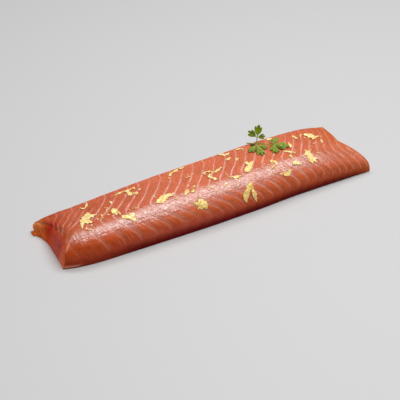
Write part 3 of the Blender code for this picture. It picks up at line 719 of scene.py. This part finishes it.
def flesh_material(fields):
    """Moist translucent flesh: crisp pale seams on the top plane, broad pale bands on the sides, painted
    glints on the crest.
    """
    look = Look("salmon_flesh")
    at = {name: look.field(name) for name in fields}
    after = look.math("FRACT", at["phase"])
    past = look.times(after, at["pitch"])
    ahead = look.times(look.math("SUBTRACT", 1.0, after), at["pitch"])
    above_foot = look.step(at["girth"], *ABOVE_FOOT)
    lean = {0: look.times(at["phase"], FIBRES[0]), 1: look.times(at["girth"], FIBRES[1])}
    fibres = look.noise(1.0, 3, 0.6, look.node("CombineXYZ", lean))
    grains = look.noise(800, 3, 0.6)

    colour = flesh_base(look, at)
    fine = look.times(look.step(fibres, *NOISE_RANGE, 0.84, 1.08), look.varied(520, 2, 0.88, 1.08))
    fine = look.mix_value(look.times(at["soft"], 0.6), fine, 0.99)
    colour = look.darken(colour, look.times(fine, at["tone"]))
    trail = look.step(past, look.varied(140, 3, 2.6, 6.0), 0.0)
    streak = look.math("MAXIMUM", trail, look.step(ahead, look.varied(210, 2, 0.9, 2.8), 0.0))
    patchy = look.step(look.noise(75, 3), 0.3, 0.65, 0.5, 1.0)
    band = look.times(streak, look.mix_value(at["soft"], 0.12, 0.66), patchy, above_foot, at["banded"],
                      look.mix_value(at["lined"], 1.0, 0.55))
    feather = look.times(look.step(fibres, 0.42, 0.66, 0.0, 0.42), at["soft"],
                         look.step(at["thick_end_fade"], 0.6, 1.0, 0.3, 1.0), above_foot, at["banded"])
    # painted glints and the dark specks between them, in the highlight on the crest
    painted_glints = look.times(look.step(grains, 0.54, 0.62, 0.0, 0.75), at["glint_zone"],
                         look.step(look.noise(190, 2), 0.42, 0.6))
    glint_gaps = look.times(look.step(look.noise(520, 1), 0.40, 0.30, 0.0, 0.6), at["glint_zone"])
    for share, paint in ((look.math("MAXIMUM", band, feather), BAND_COLOUR),
                         (seam_lines(look, at, past, ahead), SEAM_COLOUR),
                         (painted_glints, GLINT_COLOUR), (glint_gaps, GLINT_GAP_COLOUR)):
        colour = look.mix(share, colour, paint)

    wrinkles = look.noise(420, 2, 0.6, look.stretched((0.22, 1, 1)))
    relief = look.relief((look.noise(260, 2), 0.0005, 0.8), (wrinkles, 0.0006, 0.9),
                         (fibres, 0.0006, 0.8), (grains, 0.0003, 0.9))
    side_gloss = look.mix_value(look.times(streak, at["banded"]), 0.35, 1.0)
    gloss = look.mix_value(look.step(at["girth"], *GLOSSY_TOP), side_gloss, 1.0)
    film = look.times(at["wet"], look.step(grains, *NOISE_RANGE, 0.6, 1.3),
                      look.step(fibres, 0.40, 0.60, 0.6, 1.2), gloss)
    look.shader(Base_Color=colour, Normal=relief, Roughness=0.5, IOR=1.12)
    look.shader(Coat_Weight=look.math("MINIMUM", film, 1.0), Coat_Roughness=0.38, Coat_IOR=2.6,
                Coat_Normal=relief)
    look.shader(Subsurface_Weight=0.35, Subsurface_Radius=(1.0, 0.30, 0.15), Subsurface_Scale=0.003)
    return look.material


GOLD_DEEP = (0.96, 0.55, 0.10)
GOLD_PALE = (1.0, 0.95, 0.52)
# painted reflection: deeper yellow for the flakes low on the side
GOLD_SIDE_REFLECTION = (0.97, 0.64, 0.14)


def gold_material():
    """Thin crumpled gold leaf, pale where it faces the light, with a painted deeper-yellow reflection on
    flakes low on the side.
    """
    look = Look("gold_leaf")
    colour = look.mix(look.varied(500, 3), GOLD_DEEP, GOLD_PALE)
    colour = look.mix(look.times(look.field("side_reflection"), 0.5), colour, GOLD_SIDE_REFLECTION)
    creases = look.relief((look.noise(1600, 3, 0.7), 0.0003, 0.8))
    look.shader(Base_Color=colour, Metallic=0.15, Roughness=look.varied(1300, 2, 0.28, 0.5), Normal=creases)
    return look.material


# Upright and lying leaflets have two colours each, for their darker and lighter mottles. The upright
# colours are a painted shaded copy of the leaf colour and the lying ones the lit copy; the folded
# leaflet's colour is painted deep shade.
HERB_UPRIGHT_SHADED = ((0.115, 0.150, 0.002), (0.340, 0.370, 0.008))
HERB_LYING_LIT = ((0.110, 0.180, 0.010), (0.325, 0.395, 0.050))
HERB_FOLDED_SHADE = (0.030, 0.055, 0.002)
HERB_VEIN = (0.33, 0.50, 0.12)
HERB_STEM = (0.33, 0.36, 0.04)


def herb_material():
    """Matte green leaflets, paler along the veins, on yellow-green stems; painted shade on the upright and
    folded leaflets.
    """
    look = Look("herb_leaf")
    tone = look.field("tone")
    mottle = look.varied(700, 3)
    dark = look.mix(mottle, *HERB_UPRIGHT_SHADED)
    light = look.mix(mottle, *HERB_LYING_LIT)
    dark = look.mix(look.step(tone, 0.0, UPRIGHT_SHADE), HERB_FOLDED_SHADE, dark)
    colour = look.mix(look.step(tone, UPRIGHT_SHADE, 1.0), dark, light)
    colour = look.mix(look.times(look.field("vein"), 0.4), colour, HERB_VEIN)
    colour = look.mix(look.field("stem"), colour, HERB_STEM)
    look.shader(Base_Color=colour, Roughness=0.5, IOR=1.35, Normal=look.relief((mottle, 0.0002, 0.5)))
    look.shader(Subsurface_Weight=0.8, Subsurface_Radius=(0.6, 1.0, 0.2), Subsurface_Scale=0.0012)
    return look.material


# ---- flesh ------------------------------

def flesh_grid():
    """Distances along and girth shares of the fine mesh, whose stations lean as the seams do."""
    t = np.linspace(0, 1, LINES)
    share = np.linspace(0, 1, STATIONS)
    left, right = ends(t)
    grow = ease(share * LENGTH / THICK_FADE) * ease((1 - share) * LENGTH / THIN_FADE)
    x = left + (right - left) * share[:, None]
    x = x + arm(share[:, None] * LENGTH, t) * grow[:, None]
    return np.minimum(x, right), np.broadcast_to(t, x.shape)


def rounded(distance, radius):
    """Where a point at a signed distance around a sharp rim goes on a rounded one.

    Distances are negative on the skin and positive on the cut; the result is how deep the point lies
    behind the cut and below the skin."""
    angle = (np.clip(distance / radius, -1, 1) + 1) * math.pi / 4
    behind_cut = radius * (1 - np.sin(angle)) + np.maximum(-distance - radius, 0)
    below_skin = radius * (1 - np.cos(angle)) + np.maximum(distance - radius, 0)
    return behind_cut, below_skin


def rim_radius(rim_height, t, radii):
    """The rim's radius, smaller where the end is low."""
    return np.minimum(curve(radii, t), 0.45 * rim_height + 1e-5)


def tear(t):
    """How far the tear in the flap moves the thick end's rim inwards."""
    spots = np.stack([t, 0 * t, 0 * t], -1)
    jagged = noise_sum(spots, TEAR_JAGS, 44) * between(FLAP_FROM, t)
    return bell(t - TEAR_AT, TEAR_WIDTH) * TEAR_DEPTH + TIP_TRIM * between(TIP_TRIM_FROM, t) + jagged


def foot_tuck(x, t):
    """How far the bottom edges are rounded in across the fillet."""
    front = (1 - ease(t / FOOT_TUCK_SHARE)) ** 2
    back = (1 - ease((1 - t) / FOOT_TUCK_SHARE)) ** 2
    return curve(FOOT_TUCK, x) * (front - back)


def make_flesh():
    """The whole fillet as one closed fine mesh."""
    x, t = flesh_grid()
    phase = wandering_phase(x, t)
    pitch = seam_pitch(x, t)
    left, right = ends(t)
    thick_radius = rim_radius(surface(left, t)[..., 2], t, THICK_ROUND)
    thin_radius = rim_radius(surface(right, t)[..., 2], t, THIN_ROUND)
    behind_thick, below_thick = rounded(left - x, thick_radius)
    behind_thin, below_thin = rounded(x - right, thin_radius)
    along = np.where(x < LENGTH / 2, left + behind_thick, right - behind_thin)
    below = np.where(x < LENGTH / 2, below_thick, below_thin)
    height = fine_relief(x, t, phase, pitch) - below
    grid = surface(along, t) + normal(along, t) * height[..., None]
    grid[..., 0] += tear(t) * (1 - ease((x - left) / TEAR_FADE))
    grid[..., 1] += foot_tuck(x, t)
    grid[:, 0, 2] = 0
    grid[:, -1, 2] = 0
    stations, lines = x.shape
    verts = list(grid.reshape(-1, 3))
    fields = flesh_fields(x, t, phase, pitch)
    faces = grid_faces(stations, lines)
    thick_foot = cap(verts, faces, fields, 0, lines, True)
    thin_foot = cap(verts, faces, fields, (stations - 1) * lines, lines, False)
    front_foot = [i * lines for i in range(stations)]
    back_foot = [i * lines + lines - 1 for i in range(stations)]
    faces.append((front_foot + thin_foot + back_foot[::-1] + thick_foot[::-1])[::-1])
    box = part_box("salmon_fillet")
    make_piece("salmon_flesh", verts, faces, flesh_material(fields), "salmon_fillet", fields, box)


# Zones that the flesh's fields are made of, each from where it starts to where it is full; a window
# also ends.  Those named ALONG are in metres from the thick end, the others in shares of the girth.
THICK_ALONG = (0.110, 0.020)
THIN_ALONG = (0.235, 0.270)
SOFT_ALONG = (0.240, 0.272)
DEEP_ALONG = (0.125, 0.040)
LINED_ALONG = (0.130, 0.180)
FAN_ALONG = (0.050, 0.035)
HEM_ALONG = (0.016, 0.009)
FLAP_ALONG = (0.012, 0.0)
SOFT_FRONT = (0.28, 0.40)
SOFT_BACK = (0.74, 0.82)
SOFT_THIN = (0.42, 0.62)
WET_FRONT = (0.15, 0.235)
WET_BACK = (0.33, 0.39)
SHINE_FRONT = (0.18, 0.235)
SHINE_BACK = (0.30, 0.36)
FAN_WINDOW = (0.36, 0.42, 0.70, 0.80)
RIDGE_WINDOW = (0.13, 0.20, 0.24, 0.30)
CUT_SHEEN_WINDOW = (0.17, 0.27, 0.40, 0.50)
RIDGE_WIDTH = 0.0011
FLAP_ZONE = (0.62, 0.74)
HEM_AT = 0.020
HEM_WIDTH = 0.009


def flesh_fields(x, t, phase, pitch):
    """What the flesh's material reads at each point."""
    left, right = ends(t)
    from_thick = x - left
    from_thin = np.abs(right - x)
    past_ridge = from_thick - curve(RIDGE_AT, t)
    near_thin = between(THIN_ALONG, x)
    near_thick = between(THICK_ALONG, x)

    soft = np.maximum(1 - between(SOFT_FRONT, t), between(SOFT_BACK, t))
    soft = np.maximum(soft, between(SOFT_ALONG, x) * (1 - between(SOFT_THIN, t)))
    uneven = 1 - 0.25 * np.abs(np.sin(3.1 * np.round(phase)))
    # painted glow of light through the thin end's edge
    rim = np.minimum(np.exp(-from_thin / 0.0055) + 0.5 * np.exp(-from_thin / 0.016), 1)
    glossy = 1 - 0.8 * near_thin
    far = t + 0.07 * near_thick
    ragged = t + noise_sum(surface(x, t), HIGHLIGHT_EDGE, 60)
    wet = glossy * between(WET_FRONT, ragged) * (1 - 0.72 * between(WET_BACK, far))
    wet = wet * between((-0.001, 0.002), past_ridge) * (1 - 0.3 * between((0.075, 0.020), x))
    deep = between(DEEP_ALONG, x)
    lined = between(LINED_ALONG, x)
    # darker towards both ends and low on the sides; the darkening behind the thick rim's top and just
    # behind the crest near the thick end is painted shade
    darker = [0.08 * near_thick,
              0.14 * between((0.235, 0.265), x),
              0.14 * between((0.030, 0.004), from_thick) * between((0.36, 0.46), t),
              0.07 * between((0.130, 0.030), x) * between((0.30, 0.36), t),
              0.07 * between((0.18, 0.11), t) * np.maximum(deep, lined)]
    fields = {
        "girth": t,
        "phase": phase,
        "pitch": pitch / MM,
        "soft": soft,
        "strength": uneven * (1 - 0.5 * between((0.045, 0.020), x)) * (1 - 0.3 * near_thin),
        "tone": math.prod(1 - share for share in darker),
        "fan": between(FAN_ALONG, x) * window(FAN_WINDOW, t),
        "banded": np.maximum(between((0.010, 0.030), x), 0.2),
        "glossy": glossy,
        "lined": lined,
        "cut": 0 * x,
        # painted glow along the thin end and along the thick end's rim
        "rim": rim + 0.5 * np.exp(-np.abs(from_thick) / 0.002),
        "hem": bell(t - HEM_AT, HEM_WIDTH) * between(HEM_ALONG, x),
        "cut_sheen": 0 * x,
        # painted light on the thin flap
        "flap": between(FLAP_ZONE, t) * between(FLAP_ALONG, from_thick),
        "fold": fold_shade_field(t, from_thick * 2.2),
        # painted highlight along the rounded ridge behind the thick end
        "ridge_highlight": bell(past_ridge, RIDGE_WIDTH) * window(RIDGE_WINDOW, t),
        "wet": wet,
        # where the painted glints lie
        "glint_zone": glossy * between(SHINE_FRONT, ragged) * (1 - between(SHINE_BACK, far)),
        # weakens the painted shade and sheen at the feet, and the fibre streaks, towards the thick end
        "thick_end_fade": 1 - 0.45 * between((0.075, 0.025), x),
        "deep": deep,
    }
    return {name: list(values.ravel()) for name, values in fields.items()}


def cap(verts, faces, fields, first, lines, thick):
    """Fill an end between its rim and the ground; returns the ground points between the feet."""
    face_x = thick_end if thick else thin_end
    inward = 1 if thick else -1
    t = np.linspace(0, 1, lines)
    rim = surface(ends(t)[0 if thick else 1], t)
    height = np.maximum(rim[:, 2], 1e-6)
    radius = rim_radius(rim[:, 2], t, THICK_ROUND if thick else THIN_ROUND)
    ground_y = np.linspace(rim[0, 1], rim[-1, 1], lines)
    previous = list(range(first, first + lines))
    for row in range(1, CAP_ROWS + 1):
        fall = (row / CAP_ROWS) ** CAP_CROWDING * height
        behind, below = rounded(fall, radius)
        part = np.full(lines, 1.0) if row == CAP_ROWS else below / height
        y = rim[:, 1] * (1 - part) + ground_y * part
        z = rim[:, 2] * (1 - part)
        points = np.stack([face_x(y, z) + inward * behind, y, z], -1)
        lumps = np.abs(noise_sum(points, CUT_LUMPS, 30)) * ease(part * 3) * ease((1 - part) * 3)
        points[:, 0] += inward * lumps
        points[:, 1] += foot_tuck(rim[:, 0], t) * (1 - part)
        if thick:
            points[:, 0] += tear(t) * (1 - between(TEAR_DOWN, part)) + FOOT_INSET * between(FOOT_DOWN, part)
            points[:, 0] -= TIP_BULGE * bell(t - TIP_AT, TIP_WIDTH) * between(TIP_DOWN, part)
        values = cap_fields(t, part, thick)
        for name, field in fields.items():
            field += list(values.get(name, field[first:first + lines])[1:-1])
        current = [previous[0], *range(len(verts), len(verts) + lines - 2), previous[-1]]
        verts += list(points[1:-1])
        for j in range(lines - 1):
            corners = [previous[j], previous[j + 1], current[j + 1], current[j]]
            corners = list(dict.fromkeys(corners))
            faces.append(corners if thick else corners[::-1])
        previous = current
    return previous[1:-1]


def cap_fields(t, part, thick):
    """What the material reads on a cut end, at shares of the girth and of the way down.

    Fields that aren't here keep the rim's values."""
    names = ("strength", "soft", "wet", "glint_zone", "fan", "hem", "banded", "glossy", "deep", "lined")
    values = dict.fromkeys(names, 0 * t)
    values["cut"] = ease(part * 5)
    # painted glow just below the cut's rim
    values["rim"] = 0.6 * np.exp(-part * 6)
    if not thick:
        values["tone"] = 0.85 + 0 * t
        return values
    # painted light on the thick cut: lighter lower down where the cut lies in shade, at its front corner,
    # and on the flap below the rim
    values["tone"] = (0.8 + 0.5 * part * between((0.75, 0.65), t) + 0.25 * between((0.26, 0.15), t)
                      + 0.35 * (1 - part) * between(FLAP_FROM, t))
    values["fold"] = fold_shade_field(t, part * 0.02)
    values["flap"] = between(FLAP_ZONE, t) * (1 - 0.4 * part)
    # painted purple-pink sheen on the cut
    values["cut_sheen"] = values["cut"] * window(CUT_SHEEN_WINDOW, t)
    # painted highlight, paler low at the front of the thick cut
    values["ridge_highlight"] = 0.10 * between((0.26, 0.18), t)
    return values


def fold_shade_field(t, away):
    """Painted shade of the dark red hollow in the middle of the thick end, at a distance from its rim."""
    return bell(t - HOLLOW_AT, HOLLOW_WIDTH) * bell(away, HOLLOW_DEPTH)


# ---- gold leaf ------------------------------

def trimmed_cells(field):
    """The cells of a grid cut along field = 0: points as (row, column) and polygons."""
    index = {}
    points = []
    polygons = []

    def point(key, where):
        if key not in index:
            index[key] = len(points)
            points.append(where)
        return index[key]

    for i in range(field.shape[0] - 1):
        for j in range(field.shape[1] - 1):
            corners = [(i, j), (i + 1, j), (i + 1, j + 1), (i, j + 1)]
            if max(field[c] for c in corners) <= 0:
                continue
            polygon = []
            for a, b in zip(corners, corners[1:] + corners[:1]):
                if field[a] > 0:
                    polygon.append(point(a, a))
                if (field[a] > 0) != (field[b] > 0):
                    f = field[a] / (field[a] - field[b])
                    where = (a[0] + f * (b[0] - a[0]), a[1] + f * (b[1] - a[1]))
                    polygon.append(point((min(a, b), max(a, b)), where))
            if len(polygon) > 2:
                polygons.append(polygon)
    return np.array(points), polygons


def stroke_field(along, across, strokes):
    """Metres inside (above 0) or outside the outline of a few strokes."""
    best = np.full(along.shape, -1.0)
    for stroke in strokes:
        spots = [(x * MM, t * GIRTH, width * MM / 2) for x, t, width in stroke]
        for (x0, y0, w0), (x1, y1, w1) in zip(spots, spots[1:]):
            dx = x1 - x0
            dy = y1 - y0
            f = np.clip(((along - x0) * dx + (across - y0) * dy) / (dx * dx + dy * dy), 0, 1)
            distance = np.hypot(along - x0 - f * dx, across - y0 - f * dy)
            best = np.maximum(best, w0 + (w1 - w0) * f - distance)
    return best


def gold_flake(seed, strokes):
    """One torn and crumpled flake lying on the skin: its points and faces."""
    spots = np.concatenate([np.array(stroke) for stroke in strokes]) * (MM, GIRTH, MM)
    reach = spots[:, 2].max() * 0.8 + 2 * GOLD_CELL
    low = spots[:, :2].min(0) - reach
    high = spots[:, :2].max(0) + reach
    rows, columns = np.ceil((high - low) / GOLD_CELL).astype(int) + 1
    along, across = np.meshgrid(low[0] + np.arange(rows) * GOLD_CELL,
                                low[1] + np.arange(columns) * GOLD_CELL, indexing="ij")
    flat = np.stack([along, across, np.full_like(along, seed * 0.05)], -1)
    field = stroke_field(along, across, strokes) + noise_sum(flat, GOLD_TEAR, seed) - GOLD_SHRINK
    field[np.abs(field) < 1e-6] = 1e-6
    field[0] = field[-1] = -reach
    field[:, 0] = field[:, -1] = -reach
    cells, polygons = trimmed_cells(field)
    if not polygons:
        return np.zeros((0, 3)), []
    along = low[0] + cells[:, 0] * GOLD_CELL
    across = low[1] + cells[:, 1] * GOLD_CELL
    local = np.stack([along, across, np.full_like(along, seed * 0.03)], -1)
    lift = np.full_like(along, GOLD_LIFT)
    for layer, (size, height) in enumerate(GOLD_CRUMPLE):
        ridges = 1 - 2 * np.abs(noise_at(local, size, seed + 7 + layer))
        lift += height * ease((ridges + 0.5) / 1.5)
    top = skin(along, across / GIRTH)
    out = normal(along, across / GIRTH)
    upper = top + out * lift[:, None]
    lower = top + out * (lift - GOLD_THICKNESS)[:, None]
    return np.concatenate([upper, lower]), sheet_faces(polygons, len(upper))


def gold_dust():
    """Tiny grains scattered round a few places, as crumbs are given."""
    draw = random.Random(3)
    grains = []
    for along, share, count in GOLD_DUST:
        for _ in range(count):
            x = along + draw.gauss(0, DUST_SPREAD)
            t = share + draw.gauss(0, DUST_SPREAD) * MM / GIRTH
            grains.append((x, t, draw.uniform(*DUST_SIZE)))
    return grains


def crumb(x, t, size):
    """One short stroke."""
    start = (x - size * 0.2, t, max(size * 0.75, CRUMB_LEAST[0]))
    end = (x + size * 0.3, t + size * 0.003, max(size * 0.6, CRUMB_LEAST[1]))
    return [[start, end]]


def make_gold():
    """All flakes, crumbs and grains of gold leaf as one piece."""
    flakes = GOLD_FLAKES + [crumb(x, t, size) for x, t, size in GOLD_CRUMBS]
    flakes += [[[(x, t, size), (x + 0.3, t + 0.002, size * 0.8)]] for x, t, size in gold_dust()]
    verts = np.zeros((0, 3))
    faces = []
    side_reflection = []
    for seed, flake in enumerate(flakes):
        points, polygons = gold_flake(seed, flake)
        faces += [tuple(len(verts) + k for k in p) for p in polygons]
        verts = np.concatenate([verts, points])
        # flakes low on the side get a painted deeper-yellow reflection
        share = np.mean([t for stroke in flake for _, t, _ in stroke])
        side_reflection += [float(between(SIDE_REFLECTION_BELOW, share))] * len(points)
    make_piece("gold_flakes", verts, faces, gold_material(), "salmon_fillet", {"side_reflection": side_reflection})


# ---- herb sprig ------------------------------

class Mesh:
    """Points, faces and per-point values of a mesh that grows piece by piece."""

    def __init__(self, *names):
        self.verts = []
        self.faces = []
        self.fields = {name: [] for name in names}

    def add(self, verts, faces, **values):
        start = len(self.verts)
        self.verts += [tuple(v) for v in verts]
        self.faces += [tuple(start + k for k in f) for f in faces]
        for name, field in self.fields.items():
            value = values.get(name, 0.0)
            field += list(value) if np.ndim(value) else [value] * len(verts)


def spot(along, share, lift):
    """Point above the fillet: millimetres along, share of the girth, millimetres above."""
    return Vector(surface(along * MM, share) + normal(along * MM, share) * lift * MM)


def add_stem(mesh, start, end, bow=(0, 0, 0)):
    """A ribbed stem that tapers from start to end and is bowed at its middle."""
    verts = []
    faces = []
    direction = (end - start).normalized()
    across = direction.cross(STEM_SIDEWAYS).normalized()
    other = direction.cross(across)
    for i in range(STEM_RINGS):
        f = i / (STEM_RINGS - 1)
        centre = start.lerp(end, f) + Vector(bow) * math.sin(math.pi * f)
        for k in range(STEM_SIDES):
            angle = math.tau * k / STEM_SIDES
            size = STEM_RADIUS * (1 + (STEM_TAPER - 1) * f) * (1 + STEM_RIB * (-1) ** k)
            verts.append(centre + size * (math.cos(angle) * across + math.sin(angle) * other))
    for i in range(STEM_RINGS - 1):
        for k in range(STEM_SIDES):
            a = i * STEM_SIDES + k
            b = i * STEM_SIDES + (k + 1) % STEM_SIDES
            faces.append((a, b, b + STEM_SIDES, a + STEM_SIDES))
    faces.append(tuple(reversed(range(STEM_SIDES))))
    faces.append(tuple(range((STEM_RINGS - 1) * STEM_SIDES, STEM_RINGS * STEM_SIDES)))
    mesh.add(verts, faces, stem=1.0, tone=0.5)


def add_leaflet(mesh, root, tip, side, width, tone, seed, notch=LEAF_NOTCH):
    """A wedge-shaped leaflet with shallow rounded lobes, raised veins and wavy margins."""
    side = side.normalized()
    forward = (tip - root).normalized()
    face = side.cross(forward).normalized()
    length = (tip - root).length
    draw = random.Random(seed)
    spread = math.atan2(width * MM / 2, length * LEAF_WIDEST)
    depth = notch * draw.uniform(*LEAF_NOTCH_DRAW)
    skew = draw.uniform(-LEAF_SKEW, LEAF_SKEW)
    upper = []
    veins = []
    for i in range(LEAF_ROWS):
        s = i / (LEAF_ROWS - 1)
        for j in range(LEAF_COLUMNS + 1):
            w = 2 * j / LEAF_COLUMNS - 1
            lobe = abs(math.cos(LEAF_LOBES * math.pi * (w + 1) / 2 + math.pi / 2))
            reach = 1 - LEAF_SHOULDER * abs(w) ** 1.8 + skew * w
            reach *= length * (1 - depth * (1 - lobe) ** 1.5)
            angle = w * spread * (0.10 + 0.90 * ease(s * 1.3))
            ahead = s * reach * math.cos(angle)
            aside = s * reach * math.sin(angle) + w * LEAF_ROOT
            vein = max(math.exp(-((w - at) / LEAF_VEIN_WIDTH) ** 2) for at in LEAF_VEINS) * (1 - 0.6 * s)
            arch = LEAF_ARCH * (math.sin(math.pi * s) - s * w * w / 2)
            wave = LEAF_WAVE * s * s * math.sin(4 * w + 3 * s + seed)
            pucker = LEAF_PUCKER * s * noise.noise(Vector((w * length * 400, s * length * 700, seed)))
            height = length * (arch + wave) + pucker + LEAF_VEIN_HEIGHT * vein
            upper.append(root + forward * ahead + side * aside + face * height)
            veins.append(vein)
    half = face * LEAF_THICKNESS / 2
    verts = [p + half for p in upper] + [p - half for p in upper]
    polygons = [(a, d, c, b) for a, b, c, d in grid_faces(LEAF_ROWS, LEAF_COLUMNS + 1)]
    mesh.add(verts, sheet_faces(polygons, len(upper)), tone=tone, vein=veins * 2)


def add_lying_leaflet(mesh, hub, along, across, lift, width, tone, seed):
    """A leaflet from a hub spot to a tip given by its distance along and across the fillet."""
    root = spot(*hub)
    tip = spot(hub[0] + along, hub[1] + across * MM / GIRTH, lift)
    up = Vector(normal(hub[0] * MM, hub[1]))
    notch = LYING_NOTCH[0] + LYING_NOTCH[1] * width
    add_leaflet(mesh, root, tip, (tip - root).cross(up), width, tone, seed, notch)


def make_sprig():
    """The sprig: a forked stem with one upright leaf, two lying ones and a small folded leaflet."""
    mesh = Mesh("tone", "vein", "stem")
    fork = spot(*FORK)
    back = Vector((-UPRIGHT_SIDE.y, UPRIGHT_SIDE.x, 0))
    rise = back * math.sin(UPRIGHT_LEAN) + Vector((0, 0, math.cos(UPRIGHT_LEAN)))
    high_hub = fork + rise * UPRIGHT_STALK + UPRIGHT_SIDE * UPRIGHT_SHIFT
    add_stem(mesh, spot(*STEM_FOOT), fork, (0, 0, 0.0002))
    add_stem(mesh, fork, spot(*FAR_HUB), (0, 0, 0.0007))
    add_stem(mesh, fork, spot(*LOW_HUB))
    add_stem(mesh, fork, high_hub, (0.0003, 0, 0))
    for index, (aside, up, width) in enumerate(UPRIGHT_LEAFLETS):
        tip = high_hub + (UPRIGHT_SIDE * aside + rise * up) * MM
        across = (tip - high_hub).cross(rise.cross(UPRIGHT_SIDE))
        add_leaflet(mesh, high_hub, tip, across, width, UPRIGHT_SHADE, index)
    for hub, tone, seed, leaflets in LYING_LEAVES:
        for index, leaflet in enumerate(leaflets):
            add_lying_leaflet(mesh, hub, *leaflet, tone, seed + index)
    make_piece("herb_leaves", mesh.verts, mesh.faces, herb_material(), "herb_sprig", mesh.fields)


# ---- stage ------------------------------

def make_floor():
    """A plain pale floor."""
    corners = ((-1, -1), (1, -1), (1, 1), (-1, 1))
    mesh = bpy.data.meshes.new("floor")
    mesh.from_pydata([(x * FLOOR_HALF, y * FLOOR_HALF, -FLOOR_GAP) for x, y in corners], [], [(0, 1, 2, 3)])
    look = Look("floor")
    look.shader(Base_Color=FLOOR_COLOUR, Roughness=0.55)
    mesh.materials.append(look.material)
    floor = add_object("floor", mesh)


def make_lights():
    """Rectangular soft lights that face the fillet, and a dim even sky."""
    for name, at, size, power in SOFT_LIGHTS:
        light = bpy.data.lights.new(name, "AREA")
        light.shape = "RECTANGLE"
        light.size, light.size_y = size
        light.energy = power
        add_object(name, light, at, -Vector(at))
    world = bpy.data.worlds.new("studio")
    world.use_nodes = True
    world.node_tree.nodes["Background"].inputs["Color"].default_value = (1, 1, 1, 1)
    world.node_tree.nodes["Background"].inputs["Strength"].default_value = SKY
    bpy.context.scene.world = world


def make_camera():
    """The photograph's viewing angle."""
    lens = bpy.data.cameras.new("camera")
    lens.angle = CAMERA_ANGLE
    back = Vector((math.sin(CAMERA_AZIMUTH) * math.cos(CAMERA_ELEVATION),
                   -math.cos(CAMERA_AZIMUTH) * math.cos(CAMERA_ELEVATION), math.sin(CAMERA_ELEVATION)))
    place = Vector(CAMERA_TARGET) + back * CAMERA_DISTANCE
    bpy.context.scene.camera = add_object("camera", lens, place, -back)


make_camera()
make_lights()
make_floor()
make_flesh()
make_gold()
make_sprig()
bpy.context.scene.view_settings.view_transform = "Standard"
